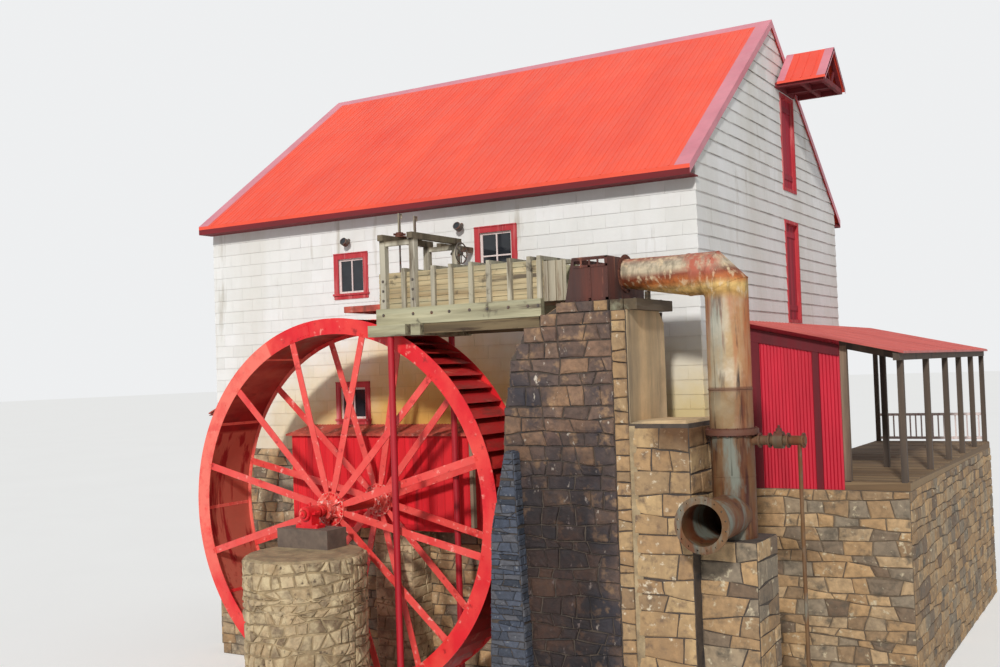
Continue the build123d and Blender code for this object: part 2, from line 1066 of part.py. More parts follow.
# Two cap timbers across the pier's shelf, with a chock that holds the pipe up
timber_width = (cap_timber_right - cap_timber_left - cap_timber_gap) / 2
timbers = []
for left in (cap_timber_left, cap_timber_left + timber_width + cap_timber_gap):
    timbers.append(
        block(left, left + timber_width, box_front, pier_back, shelf_height, pier_top)
    )
chock_x = cap_timber_right - timber_width / 2
chock_top = cone_underside(chock_x + chock_half)
timbers[1] += block(
    chock_x - chock_half, chock_x + chock_half, pipe_y - 60, pipe_y + 60, pier_top, chock_top
)
save("pier_cap_timbers", *timbers)

buttress = [(pier_foot_left + x, z) for x, z in buttress_profile]
save("pier_buttress", along_y(buttress, buttress_front, pier_front))

# Round pier with the concrete block, and the inner pier under the lean-to
round_pier = rod_z(bearing_pier_x, bearing_pier_y, bearing_pier_radius, 0, bearing_pier_top)
inner_pier = block(
    -inner_pier_half, inner_pier_half, inner_pier_front, wall_front, 0, bearing_block_top
)
save("bearing_piers", round_pier, inner_pier)
save(
    "bearing_block",
    block(
        bearing_block_left,
        bearing_block_right,
        bearing_block_front,
        bearing_block_back,
        bearing_pier_top,
        bearing_block_top,
    ),
)


# Bearing housings
def housing(y0):
    y1 = y0 + housing_length
    foot = block(
        -housing_foot_width / 2,
        housing_foot_width / 2,
        y0 + 60,
        y1 - 60,
        bearing_block_top,
        bearing_block_top + housing_foot_height,
    )
    body = rod_y(0, axle_height, housing_radius, y0, y1)
    body += block(
        -housing_radius, housing_radius, y0 + 60, y1 - 60, bearing_block_top, axle_height
    )
    return foot + body - rod_y(0, axle_height, journal_radius + running_clearance, y0 - 1, y1 + 1)


save("bearing_housings", housing(housing_front), housing(housing_back_start))

# Wheel: shaft, hubs, spokes, rings, sole and buckets
front_boss = -hub_boss_reach
back_boss = wheel_width + hub_boss_reach
shaft = rod_y(0, axle_height, journal_radius, journal_front, journal_back)
shaft += rod_y(0, axle_height, shaft_radius, front_boss, back_boss)
save("wheel_shaft", shaft)

spoke_front = ring_thickness
spoke_back = ring_thickness + spoke_thickness
hub_spoke_front = spoke_front - spoke_dish
hub_spoke_back = spoke_back - spoke_dish
flange_front = hub_spoke_front - hub_flange_thickness
collar_start = hub_spoke_back + hub_inner_reach


def hub():
    """Hub at the front of the wheel, its two flanges either side of the spokes."""
    shape = rod_y(0, axle_height, hub_boss_radius, front_boss, collar_start)
    shape += rod_y(0, axle_height, hub_flange_radius, flange_front, hub_spoke_front)
    shape += rod_y(
        0, axle_height, hub_flange_radius, hub_spoke_back, hub_spoke_back + hub_flange_thickness
    )
    shape += rod_y(0, axle_height, collar_radius, collar_start, collar_start + collar_length)
    rib_front = front_boss + collar_length
    for i in range(hub_rib_count):
        rib = along_x(
            (
                (flange_front, hub_flange_radius - 10),
                (flange_front, 0),
                (rib_front, 0),
                (rib_front, hub_boss_radius + 10),
            ),
            -hub_rib_thickness / 2,
            hub_rib_thickness / 2,
        )
        shape += Pos(0, 0, axle_height) * Rot(0, i * 360 / hub_rib_count, 0) * rib
    shape -= ring_y(hub_flange_radius + 1, spoke_inner_radius, hub_spoke_front, hub_spoke_back)
    return shape - rod_y(0, axle_height, shaft_radius, front_boss - 1, collar_start + 200)


def to_back(shape):
    """The same shape at the back of the wheel, seen in a mirror across its middle."""
    return mirror(shape, about=Plane(origin=(0, wheel_width / 2, 0), z_dir=(0, 1, 0)))


front_hub = hub()
save("wheel_hubs", front_hub, to_back(front_hub))

inner_bend = hub_flange_radius + spoke_bend_gap
outer_bend = ring_inner - spoke_bend_gap
spokes = []
for i in range(spoke_count):
    bar = along_z(
        (
            (spoke_inner_radius, hub_spoke_front),
            (inner_bend, hub_spoke_front),
            (outer_bend, spoke_front),
            (spoke_outer_radius, spoke_front),
            (spoke_outer_radius, spoke_back),
            (outer_bend, spoke_back),
            (inner_bend, hub_spoke_back),
            (spoke_inner_radius, hub_spoke_back),
        ),
        -spoke_width / 2,
        spoke_width / 2,
    )
    angle = spoke_first_angle + i * 360 / spoke_count
    bar = Pos(0, 0, axle_height) * Rot(0, -angle, 0) * bar
    spokes.append(bar)
    spokes.append(to_back(bar))
save("wheel_spokes", *spokes)

front_ring = ring_y(wheel_radius, ring_inner, 0, ring_thickness)
save("wheel_rings", front_ring, to_back(front_ring))
save("wheel_sole", ring_y(sole_outer, sole_inner, ring_thickness, wheel_width - ring_thickness))


def polar(radius, angle):
    return radius * cos(radians(angle)), radius * sin(radians(angle))


bucket_line = (
    (sole_outer + 0.02, bucket_sweep),
    (sole_outer + bucket_depth, bucket_sweep * 0.9),
    (wheel_radius - bucket_lip_inset, 0.0),
)
front_line = [polar(r, a) for r, a in bucket_line]
shift = degrees(bucket_thickness / wheel_radius)
(root_radius, root_angle), (elbow_radius, elbow_angle), (lip_radius, lip_angle) = bucket_line
back_line = [
    polar(lip_radius - bucket_thickness, lip_angle),
    polar(elbow_radius - bucket_thickness, elbow_angle - shift),
    polar(root_radius, root_angle - shift),
]
bucket = along_y(front_line + back_line, ring_thickness, wheel_width - ring_thickness)
buckets = [
    Pos(0, 0, axle_height) * Rot(0, -(bucket_first_angle + i * 360 / bucket_count), 0) * bucket
    for i in range(bucket_count)
]
save("wheel_buckets", *buckets)

# Flume: bearers, sills, channel, uprights and ties
near_sill_front = channel_front - sill_width
far_sill_back = channel_back + sill_width
bearers = [
    block(
        bolster_left,
        bolster_right,
        near_post_y - bolster_width / 2,
        near_post_y + bolster_width / 2,
        bearer_bottom,
        sill_bottom,
    ),
    block(
        far_bolster_left,
        bolster_right,
        far_post_y - bolster_width / 2,
        far_post_y + bolster_width / 2,
        bearer_bottom,
        sill_bottom,
    ),
    block(cap_left, cap_right, cap_front, cap_back, bearer_bottom, sill_bottom),
    block(
        stringer_left,
        stringer_right,
        near_sill_front + 20,
        channel_front - 20,
        stringer_bottom,
        sill_bottom,
    ),
    block(
        stringer_left,
        stringer_right,
        channel_back + 20,
        far_sill_back - 20,
        stringer_bottom,
        sill_bottom,
    ),
]
save("flume_bearers", *bearers)
channel_base = channel_floor + floor_board
save(
    "flume_sills",
    block(flume_left, flume_right, near_sill_front, channel_front, sill_bottom, channel_base),
    block(flume_left, flume_right, channel_back, far_sill_back, sill_bottom, channel_base),
)
channel = block(flume_left, flume_right, channel_front, channel_back, channel_floor, channel_top)
channel -= block(
    flume_left - 1,
    flume_right + 1,
    channel_front + side_board_thickness,
    channel_back - side_board_thickness,
    channel_base,
    channel_top + 1,
)
guide_x = gate_post_places[0]
guide_gap = gate_thickness / 2 + gate_clearance
inner_front = channel_front + side_board_thickness
inner_back = channel_back - side_board_thickness
for low_y in (inner_front, inner_back - guide_size):
    for low_x in (guide_x - guide_gap - guide_size, guide_x + guide_gap):
        channel += block(
            low_x, low_x + guide_size, low_y, low_y + guide_size, channel_base, channel_top
        )
save("flume_channel", channel)

# A pair of uprights with the tie across their tops, at each place along the flume
frames = []
for x in stile_places:
    half = stile_width / 2
    near = channel_front - stile_depth
    far = channel_back + stile_depth
    pair = block(x - half, x + half, near, channel_front, channel_base, channel_top)
    pair += block(x - half, x + half, channel_back, far, channel_base, channel_top)
    left = x - tie_width / 2
    pair += block(left, left + tie_width, near, far, channel_top, channel_top + tie_height)
    frames.append(pair)
save("flume_frames", *frames)

# Gate frame: four posts, a beam across each pair, rails between the pairs, a tie to the wall
half = gate_post_size / 2
near_post_front = channel_front - gate_post_size
far_post_back = channel_back + gate_post_size
beam_front = near_post_front - gate_beam_overhang
beam_back = far_post_back + gate_beam_overhang
beam_high = gate_post_top + gate_beam_height
first_post, last_post = gate_post_places
gate_frame = block(
    wall_tie_x - wall_tie_size / 2,
    wall_tie_x + wall_tie_size / 2,
    channel_back + 20,
    wall_front,
    wall_tie_bottom,
    wall_tie_bottom + wall_tie_size,
)
for x in gate_post_places:
    left = x - half
    right = x + half
    gate_frame += block(left, right, near_post_front, channel_front, channel_base, gate_post_top)
    gate_frame += block(left, right, channel_back, far_post_back, channel_base, gate_post_top)
    gate_frame += block(left, right, beam_front, beam_back, gate_post_top, beam_high)
rail_top = gate_post_top - rail_beam_drop
for y in (near_post_front + 20, channel_back + 20):
    gate_frame += block(
        first_post, last_post, y, y + rail_beam_width, rail_top - rail_beam_height, rail_top
    )
for y in stem_places:
    gate_frame -= rod_z(first_post, y, stem_hole_radius, gate_post_top - 1, beam_high + 1)
gate_frame -= rod_x(
    channel_back + half,
    hand_wheel_height,
    hand_wheel_shaft + running_clearance,
    last_post - half - 1,
    last_post + half + 1,
)
save("gate_frame", gate_frame)

# Sluice gate and its hooked stems
gate_low = channel_base + gate_seat
gate_high = gate_low + gate_height
save(
    "sluice_gate",
    block(
        first_post - gate_thickness / 2,
        first_post + gate_thickness / 2,
        channel_front + side_board_thickness + gate_clearance,
        channel_back - side_board_thickness - gate_clearance,
        gate_low,
        gate_high,
    ),
)
stems = []
for y in stem_places:
    stem = rod_z(first_post, y, stem_radius, gate_high, stem_top)
    stem += rod_y(first_post, stem_top - stem_radius, stem_radius, y, y + hook_reach)
    stems.append(stem)
save("gate_stems", *stems)

# Hand wheel, its shaft through the far post
hand_y = channel_back + half
hand_x = last_post + half + hand_wheel_gap
rim_outline = Rot(90, 0, 0) * RegularPolygon(hand_wheel_tube, hand_wheel_rim_sides)
rim = revolve(Pos(hand_wheel_radius, 0, 0) * rim_outline, axis=Axis.Z)
hand = Pos(hand_x, hand_y, hand_wheel_height) * Rot(0, 90, 0) * rim
for i in range(hand_wheel_spokes):
    bar = block(
        -hand_wheel_spoke_thickness / 2,
        hand_wheel_spoke_thickness / 2,
        -hand_wheel_spoke_width / 2,
        hand_wheel_spoke_width / 2,
        20,
        hand_wheel_radius,
    )
    hand += Pos(hand_x, hand_y, hand_wheel_height) * Rot(i * 360 / hand_wheel_spokes, 0, 0) * bar
hand += rod_x(hand_y, hand_wheel_height, hand_wheel_hub, hand_x - 20, hand_x + 20)
hand += rod_x(
    hand_y,
    hand_wheel_height,
    hand_wheel_shaft,
    last_post - half - 60,
    hand_x + 20,
)
hand += rod_x(
    hand_y,
    hand_wheel_height,
    hand_wheel_hub,
    last_post - half - 40,
    last_post - half - 8,
)
save("hand_wheel", hand)

# Metal lip over the top of the wheel
lip_top = channel_base + lip_side_height
lip_front = channel_front + side_board_thickness
lip_back = channel_back - side_board_thickness
lip = block(lip_left, flume_left, lip_front, lip_back, channel_base - lip_sheet, lip_top)
lip -= block(
    lip_left - 1,
    flume_left + 1,
    lip_front + lip_sheet,
    lip_back - lip_sheet,
    channel_base,
    lip_top + 1,
)
save("flume_lip", lip)

# Pipe posts
save(
    "pipe_posts",
    rod_z(near_post_x, near_post_y, post_pipe_radius, 0, bearer_bottom),
    rod_z(far_post_x, far_post_y, post_pipe_radius, 0, bearer_bottom),
)

# Metal trough between the flume and the steel box
trough_right = box_left_bottom
trough_top = box_top
rib_places = [flume_right + place for place in trough_rib_places]
trough = block(
    flume_right, trough_right, channel_front, channel_back, channel_floor, trough_top
)
trough -= block(
    flume_right - 1,
    trough_right + 1,
    channel_front + trough_sheet,
    channel_back - trough_sheet,
    channel_floor + trough_sheet,
    trough_top + 1,
)
for x in rib_places:
    trough += block(
        x, x + trough_rib, channel_front - trough_rib, channel_front, channel_floor, trough_top
    )
    trough += block(
        x, x + trough_rib, channel_back, channel_back + trough_rib, channel_floor, trough_top
    )
save("metal_trough", trough)

# Steel box on the pier, open at the top and to the trough
box = along_y(
    (
        (box_left_bottom, pier_top),
        (box_right, pier_top),
        (box_right, box_top),
        (box_left_top, box_top),
    ),
    box_front,
    box_back,
)
box -= along_y(
    (
        (box_left_bottom + box_sheet, pier_top + box_sheet),
        (box_right - box_sheet, pier_top + box_sheet),
        (box_right - box_sheet, box_top + 1),
        (box_left_top + box_sheet, box_top + 1),
    ),
    box_front + box_sheet,
    box_back - box_sheet,
)
box -= block(
    box_left_bottom - 1,
    box_left_top + 40,
    channel_front + trough_sheet,
    channel_back - trough_sheet,
    channel_floor + trough_sheet,
    box_top - box_sill,
)
box -= rod_x(pipe_y, small_axis, pipe_small_radius - pipe_wall, box_right - 50, box_right + 50)
for i in range(rim_slot_count):
    slot_left = box_left_top + rim_slot_gap + i * (rim_slot_length + rim_slot_gap)
    box -= block(
        slot_left,
        slot_left + rim_slot_length,
        box_front - 1,
        box_back + 1,
        box_top - rim_slot_drop,
        box_top - rim_depth,
    )
save("steel_box", box)


# Supply pipe: cone from the box, weld collar, mitred elbow, riser with flanges and inlet stub
def tapered_pipe(small, big, start, end):
    """Cone that leans down from the box to the pipe, cut upright at both ends."""
    spare = 60
    growth = (big - small) / cone_axis_length * spare
    cone = Cone(small - growth, big + growth, cone_axis_length + 2 * spare)
    reach = 2 * pipe_radius
    between = block(start, end, pipe_y - reach, pipe_y + reach, pipe_axis - reach, pipe_axis + reach)
    middle = Pos((box_right + collar_x) / 2, pipe_y, (small_axis + pipe_axis) / 2)
    return middle * Rot(0, 90 + degrees(cone_tilt), 0) * cone & between


def pipe_solid(grow):
    """The pipe run with its radius made smaller by grow, for the outside and the bore."""
    big = pipe_radius - grow
    small = pipe_small_radius - grow
    start = box_right - (0 if grow == 0 else 1)
    high = Plane(origin=(collar_x, pipe_y, pipe_axis), z_dir=(1, 0, 0))
    run = tapered_pipe(small, big - cone_step, start, collar_x)
    path = Polyline(
        (collar_x, pipe_y, pipe_axis),
        (riser_x - elbow_corner, pipe_y, pipe_axis),
        (riser_x, pipe_y, pipe_axis - elbow_corner),
        (riser_x, pipe_y, footing_top + grow),
    )
    return run + sweep(high * Circle(big), path=path, transition=Transition.RIGHT)


outside = pipe_solid(0)
outside += rod_x(
    pipe_y, pipe_axis, pipe_radius + collar_proud, collar_x - collar_half, collar_x + collar_half
)
inside = pipe_solid(pipe_wall)
outside += rod_y(riser_x, stub_height, stub_radius, stub_end, pipe_y)
inside += rod_y(riser_x, stub_height, stub_radius - pipe_wall, stub_end - 1, pipe_y)
outside += rod_z(
    riser_x,
    pipe_y,
    pipe_radius + flange_extra,
    riser_flange_height - flange_thickness,
    riser_flange_height + flange_thickness,
)
outside += rod_y(
    riser_x,
    stub_height,
    stub_flange_radius,
    stub_end,
    stub_end + stub_flange_thickness,
)
supply = outside - inside
for i in range(bolt_count):
    angle = radians((i + 0.5) * 360 / bolt_count)
    supply -= rod_y(
        riser_x + bolt_circle_radius * cos(angle),
        stub_height + bolt_circle_radius * sin(angle),
        bolt_hole_radius,
        stub_end - 1,
        stub_end + stub_flange_thickness + 1,
    )

# Branch pipe with its valve, welded to the riser and standing on a thin post
branch_start = riser_x + pipe_radius - pipe_wall
branch = rod_x(pipe_y, branch_height, branch_radius, branch_start, branch_end)
neck_x = riser_x + pipe_radius + flange_extra + 30
branch_flange_radius = branch_radius + branch_flange_extra
for x in (neck_x, valve_x - valve_length, valve_x + valve_length, branch_end - 30):
    branch += rod_x(
        pipe_y, branch_height, branch_flange_radius, x - branch_flange_half, x + branch_flange_half
    )
branch += rod_x(
    pipe_y, branch_height, valve_radius, valve_x - valve_length / 2, valve_x + valve_length / 2
)
branch += rod_z(branch_post_x, pipe_y, branch_post_radius, 0, branch_height - 10)
branch += rod_z(branch_post_x, pipe_y, 70, 0, 15)
save("supply_pipe", supply + branch)

# Floodlights
lamps = []
for x, rise in lamp_places:
    z = upper_floor + rise
    arm = rod_y(x, z + 40, lamp_arm_radius, wall_front - lamp_arm, wall_front)
    head = Pos(x, wall_front - lamp_arm - lamp_depth / 2, z) * Rot(70, 0, 0)
    lamps.append(arm + head * Cylinder(lamp_radius, lamp_depth))
save("floodlights", *lamps)
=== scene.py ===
# Watermill: a white mill house with a ribbed red roof, an overshot wheel, a timber flume and
# an old supply pipe. Metres, +Z up.
# Sizes are written from the axle: x and y are 0 on the axle line, in the front face of the wheel.
import math
import random

import bmesh
import bpy
from mathutils import Matrix, Vector


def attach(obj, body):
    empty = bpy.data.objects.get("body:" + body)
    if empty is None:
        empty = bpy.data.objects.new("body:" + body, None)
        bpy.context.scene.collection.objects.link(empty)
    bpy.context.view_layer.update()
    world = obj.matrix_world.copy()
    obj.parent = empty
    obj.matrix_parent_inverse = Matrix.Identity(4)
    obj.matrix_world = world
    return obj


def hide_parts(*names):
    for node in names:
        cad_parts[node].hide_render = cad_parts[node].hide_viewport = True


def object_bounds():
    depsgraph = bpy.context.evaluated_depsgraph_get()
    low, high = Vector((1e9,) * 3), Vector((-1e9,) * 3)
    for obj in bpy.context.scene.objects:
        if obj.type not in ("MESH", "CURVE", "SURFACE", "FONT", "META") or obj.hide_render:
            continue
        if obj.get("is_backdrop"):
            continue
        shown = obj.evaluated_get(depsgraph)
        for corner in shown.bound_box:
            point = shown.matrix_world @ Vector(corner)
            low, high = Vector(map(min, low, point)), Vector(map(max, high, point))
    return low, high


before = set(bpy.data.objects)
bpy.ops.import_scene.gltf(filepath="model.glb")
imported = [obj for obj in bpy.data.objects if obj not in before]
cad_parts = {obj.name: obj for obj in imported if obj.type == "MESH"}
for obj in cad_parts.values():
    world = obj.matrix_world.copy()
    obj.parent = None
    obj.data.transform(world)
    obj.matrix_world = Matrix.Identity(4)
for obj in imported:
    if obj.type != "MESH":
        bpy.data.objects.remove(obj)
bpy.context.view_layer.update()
X = Vector((1, 0, 0))
Y = Vector((0, 1, 0))
Z = Vector((0, 0, 1))

# From the axle's frame, in which the places below are written, to the model's own frame
from_axle = Vector((-1.6, -6.84, 0.0))

# Camera and light
camera_place = (12.309, -23.691, 6.463)
camera_yaw = math.radians(30.89)
camera_pitch = math.radians(1.83)
camera_roll = math.radians(-1.93)
camera_lens = 40.23
sun_direction = (-0.285, 1.0, -0.55)
sun_strength = 2.4
sky_strength = 0.38
floor_glow = 0.19
floor_reach = 400.0

# Mill house
wall_left, wall_right = -5.55, 6.6
wall_front, wall_back = 2.5, 12.4
stone_top = 4.82
eave_front, eave_back = 2.1, 12.8
eave_height, ridge_height = 10.05, 14.01
ridge_y = (eave_front + eave_back) / 2
roof_slope = (ridge_height - eave_height) / (ridge_y - eave_front)
rake_left, rake_right = -5.61, 6.66
roof_thickness = 0.06
trim_width = 0.3
cap_width = 0.26
# Windows: middle along X, sill, width and height of the opening
window_holes = (
    (-1.415, 8.24, 0.69, 0.76),
    (2.31, 8.29, 0.75, 0.96),
    (-1.455, 5.49, 0.69, 0.68),
)
casing_width = 0.125
door_middle, door_width = 8.48, 0.88
door_heights = ((7.36, 9.55), (10.36, 12.43))
door_trim = 0.07
door_face = 6.54

# Siding and roofing
shingle_height = 0.267
shingle_width = 0.61
shingle_proud = 0.009
rib_pitch = 0.229
rib_height = 0.013

# Wheel
axle_height = 3.9
wheel_width = 1.25
sole_inner = 3.43
spoke_count = 12
spoke_first_angle = 17.0


# Colours and materials
def rgb(red, green, blue):
    """A colour of 0 to 255 a channel, as the shader's linear colour."""
    steps = [c / 255 for c in (red, green, blue)]
    return [c / 12.92 if c <= 0.04045 else ((c + 0.055) / 1.055) ** 2.4 for c in steps] + [1.0]


def grey(level):
    return (level, level, level, 1.0)


EVEN = (1, 1, 1)
ALONG_X = (0.07, 1, 1)
ALONG_Y = (1, 0.07, 1)
ALONG_Z = (1, 1, 0.07)
STREAKS = (1, 1, 0.12)


def feed(tree, socket, value):
    """Gives a socket a plain value, or what comes out of another socket."""
    if hasattr(value, "is_output"):
        tree.links.new(value, socket)
    else:
        socket.default_value = value


def field(tree, size, grain=EVEN, detail=5.0, shift=0.0):
    """A cloud pattern that repeats about every size metres, stretched along each axis by grain."""
    place = tree.nodes.new("ShaderNodeTexCoord")
    stretch = tree.nodes.new("ShaderNodeMapping")
    stretch.inputs["Scale"].default_value = grain
    stretch.inputs["Location"].default_value = (shift, shift * 1.7, shift * 0.6)
    cloud = tree.nodes.new("ShaderNodeTexNoise")
    cloud.inputs["Scale"].default_value = 1 / size
    cloud.inputs["Detail"].default_value = detail
    cloud.inputs["Roughness"].default_value = 0.6
    tree.links.new(place.outputs["Object"], stretch.inputs["Vector"])
    tree.links.new(stretch.outputs["Vector"], cloud.inputs["Vector"])
    return cloud.outputs["Fac"]


def ramp(tree, value, stops):
    """Colours along a value: stops are (place, colour)."""
    band = tree.nodes.new("ShaderNodeValToRGB")
    elements = band.color_ramp.elements
    while len(elements) < len(stops):
        elements.new(0.5)
    for element, (place, colour) in zip(elements, stops):
        element.position = place
        element.color = colour
    tree.links.new(value, band.inputs["Fac"])
    return band.outputs["Color"]


def blend(tree, kind, factor, first, second):
    node = tree.nodes.new("ShaderNodeMix")
    node.data_type = "RGBA"
    node.blend_type = kind
    for socket, value in ((0, factor), (6, first), (7, second)):
        feed(tree, node.inputs[socket], value)
    return node.outputs[2]


def maths(tree, operation, first, second=0.0):
    node = tree.nodes.new("ShaderNodeMath")
    node.operation = operation
    feed(tree, node.inputs[0], first)
    feed(tree, node.inputs[1], second)
    return node.outputs[0]


def shaded(tree, colour, value, low, high, darkest):
    """A colour that is darker where a value is low."""
    shade = ramp(tree, value, ((low, grey(darkest)), (high, grey(1.0))))
    return blend(tree, "MULTIPLY", 1.0, colour, shade)


def along(tree, axis):
    """The place along an axis, in metres from the axle."""
    place = tree.nodes.new("ShaderNodeTexCoord")
    parts = tree.nodes.new("ShaderNodeSeparateXYZ")
    tree.links.new(place.outputs["Object"], parts.inputs[0])
    return maths(tree, "SUBTRACT", parts.outputs[axis], dict(zip("XYZ", from_axle))[axis])


def away(tree, x, z):
    """The distance from a line that runs across the wheel at that place."""
    wide = maths(tree, "SUBTRACT", along(tree, "X"), x)
    tall = maths(tree, "SUBTRACT", along(tree, "Z"), z)
    squares = [maths(tree, "MULTIPLY", part, part) for part in (wide, tall)]
    return maths(tree, "SQRT", maths(tree, "ADD", *squares))


def turned(tree):
    """The angle about the axle in degrees, up from the left side of the wheel."""
    left = maths(tree, "MULTIPLY", along(tree, "X"), -1.0)
    high = maths(tree, "SUBTRACT", along(tree, "Z"), axle_height)
    return maths(tree, "DEGREES", maths(tree, "ARCTAN2", high, left))


def gradual(tree, value, clear, full, unrest=0.25, grain=EVEN):
    """0 where a value is at clear and 1 where it is at full, with clouds of that strength in it."""
    share = tree.nodes.new("ShaderNodeMapRange")
    share.clamp = False
    share.inputs["From Min"].default_value = clear
    share.inputs["From Max"].default_value = full
    tree.links.new(value, share.inputs["Value"])
    clouds = maths(tree, "SUBTRACT", field(tree, 0.5, grain, 6.0, 9.1), 0.5)
    both = maths(tree, "ADD", maths(tree, "MULTIPLY", clouds, unrest * 4), share.outputs["Result"])
    return maths(tree, "MINIMUM", maths(tree, "MAXIMUM", both, 0.0), 1.0)


def fade(tree, axis, clear, full, unrest=0.25, grain=EVEN):
    return gradual(tree, along(tree, axis), clear, full, unrest, grain)


def patches(tree, size, grain, shift, clear, full, detail=7.0):
    """Clouds of about that size, each with an edge of its own."""
    return gradual(tree, field(tree, size, grain, detail, shift), clear, full, 0.0)


def tint(material, colour, kind, *shares):
    """A colour over a material, as strong as the product of the shares.
    Each share is a value, or what fade() needs to know: axis, clear, full, unrest, grain."""
    tree = material.node_tree
    base = tree.nodes["Principled BSDF"].inputs["Base Color"]
    below = base.links[0].from_socket
    mask, *others = [fade(tree, *share) if isinstance(share, tuple) else share for share in shares]
    for share in others:
        mask = maths(tree, "MULTIPLY", mask, share)
    over = colour if hasattr(colour, "is_output") else rgb(*colour)
    tree.links.new(blend(tree, kind, mask, below, over), base)


def surface(name, palette, size=0.7, grain=EVEN, by_piece=False, mottle=0.25, layers=(),
            rough=(0.7, 0.9), metal=0.0, relief=(0.003, 0.03), tone=0.0):
    """A procedural material. The palette changes over the surface, or from piece to piece.
    Each layer is (colour, share of the surface, size, grain, softness), and relief is (depth, size)."""
    material = bpy.data.materials.new(name)
    material.use_nodes = True
    tree = material.node_tree
    shader = tree.nodes["Principled BSDF"]
    first, span = (0.0, 1.0) if by_piece else (0.3, 0.4)
    last = max(1, len(palette) - 1)
    stops = [(first + span * (step / last), rgb(*colour)) for step, colour in enumerate(palette)]
    piece = tree.nodes.new("ShaderNodeNewGeometry").outputs["Random Per Island"]
    colour = ramp(tree, piece if by_piece else field(tree, size, grain), stops)
    if tone:
        colour = shaded(tree, colour, piece, 0.0, 1.0, 1 - tone)
    spots = field(tree, size * 0.3, grain, 8.0, 3.1)
    colour = shaded(tree, colour, spots, 0.3, 0.62, 1 - mottle)
    for number, (shade, share, patch_size, patch_grain, soft) in enumerate(layers):
        patch = field(tree, patch_size, patch_grain, 7.0, 5.3 + 2.9 * number)
        edge = 0.7 - 0.4 * share
        mask = ramp(tree, patch, ((edge - soft, grey(0.0)), (edge + soft, grey(1.0))))
        colour = blend(tree, "MIX", mask, colour, rgb(*shade))
    gloss = ramp(tree, spots, ((0.3, grey(rough[0])), (0.7, grey(rough[1]))))
    bump = tree.nodes.new("ShaderNodeBump")
    bump.inputs["Strength"].default_value = 0.8
    bump.inputs["Distance"].default_value = relief[0]
    tree.links.new(field(tree, relief[1], grain, 6.0, 1.3), bump.inputs["Height"])
    shader.inputs["Metallic"].default_value = metal
    for socket, value in (("Base Color", colour), ("Roughness", gloss), ("Normal", bump.outputs["Normal"])):
        tree.links.new(value, shader.inputs[socket])
    return material


fine = (0.002, 0.02)
painted = (0.001, 0.1)
white_siding = surface(
    "white_siding", ((229, 229, 226), (238, 238, 236), (233, 233, 229), (241, 241, 240)), 0.9,
    by_piece=True, mottle=0.05, rough=(0.75, 0.9), relief=(0.0012, 0.012),
    layers=(((216, 213, 204), 0.2, 1.5, STREAKS, 0.18), ((184, 178, 164), 0.03, 0.35, STREAKS, 0.08)),
)
roof_red = surface(
    "roof_red", ((242, 80, 54), (247, 90, 62), (244, 84, 60)), 2.2, mottle=0.05, rough=(0.45, 0.6),
    relief=(0.0006, 0.4), layers=(((228, 72, 52), 0.25, 1.1, (1, 0.3, 0.3), 0.2),),
)
flashing = surface(
    "pink_flashing", ((206, 122, 136), (226, 142, 154)), 0.8, mottle=0.08, rough=(0.4, 0.55),
    relief=(0.0006, 0.2),
)
dark_red_wood = surface(
    "dark_red_wood", ((92, 22, 26), (126, 30, 38), (104, 26, 30)), 0.3, ALONG_X, mottle=0.3, relief=fine
)
door_red = surface(
    "door_red", ((150, 26, 46), (176, 34, 56), (134, 22, 40)), 0.3, ALONG_Z, True, 0.2, relief=fine
)
faded_red_wood = surface(
    "faded_red_wood", ((182, 44, 54), (198, 62, 68), (168, 34, 46)), 0.3, ALONG_Z, mottle=0.2, relief=fine,
    layers=(((214, 132, 130), 0.2, 0.12, ALONG_Z, 0.08),),
)
board_red = surface(
    "board_red", ((236, 32, 46), (222, 24, 38), (244, 44, 52), (208, 20, 34)), 0.3, ALONG_Z, True, 0.15,
    relief=fine, layers=(((120, 20, 26), 0.12, 0.3, ALONG_Z, 0.1),),
)
white_paint = surface(
    "white_paint", ((228, 208, 204), (236, 224, 220)), 0.2, ALONG_Z, mottle=0.12, relief=(0.001, 0.01),
    layers=(((196, 128, 128), 0.15, 0.06, ALONG_Z, 0.06),),
)
rusty_sheet = surface(
    "rusty_sheet", ((178, 72, 58), (204, 92, 74), (150, 52, 44)), 0.5, rough=(0.6, 0.85),
    relief=(0.001, 0.05),
    layers=(((112, 56, 42), 0.3, 0.25, (1, 0.4, 0.4), 0.1), ((214, 150, 136), 0.12, 0.2, EVEN, 0.06)),
)
wheel_paint = surface(
    "wheel_red", ((232, 30, 42), (224, 24, 38), (238, 52, 50)), 1.4, mottle=0.1, rough=(0.3, 0.55),
    relief=painted,
    layers=(((240, 84, 72), 0.3, 1.1, (1, 1, 0.6), 0.12), ((241, 150, 136), 0.08, 0.16, EVEN, 0.05),
            ((160, 24, 28), 0.1, 0.2, EVEN, 0.05)),
)
spoke_paint = surface(
    "spoke_red", ((232, 66, 62), (238, 88, 80), (224, 50, 52)), 0.9, mottle=0.1, rough=(0.3, 0.55),
    relief=painted,
    layers=(((246, 166, 154), 0.13, 0.14, EVEN, 0.05), ((170, 30, 34), 0.12, 0.2, EVEN, 0.06)),
)
hub_paint = surface(
    "hub_red", ((228, 62, 54), (240, 108, 96), (214, 46, 44)), 0.25, mottle=0.2, rough=(0.4, 0.7),
    relief=(0.002, 0.03),
    layers=(((248, 200, 188), 0.3, 0.07, EVEN, 0.05), ((140, 30, 32), 0.2, 0.1, EVEN, 0.05)),
)
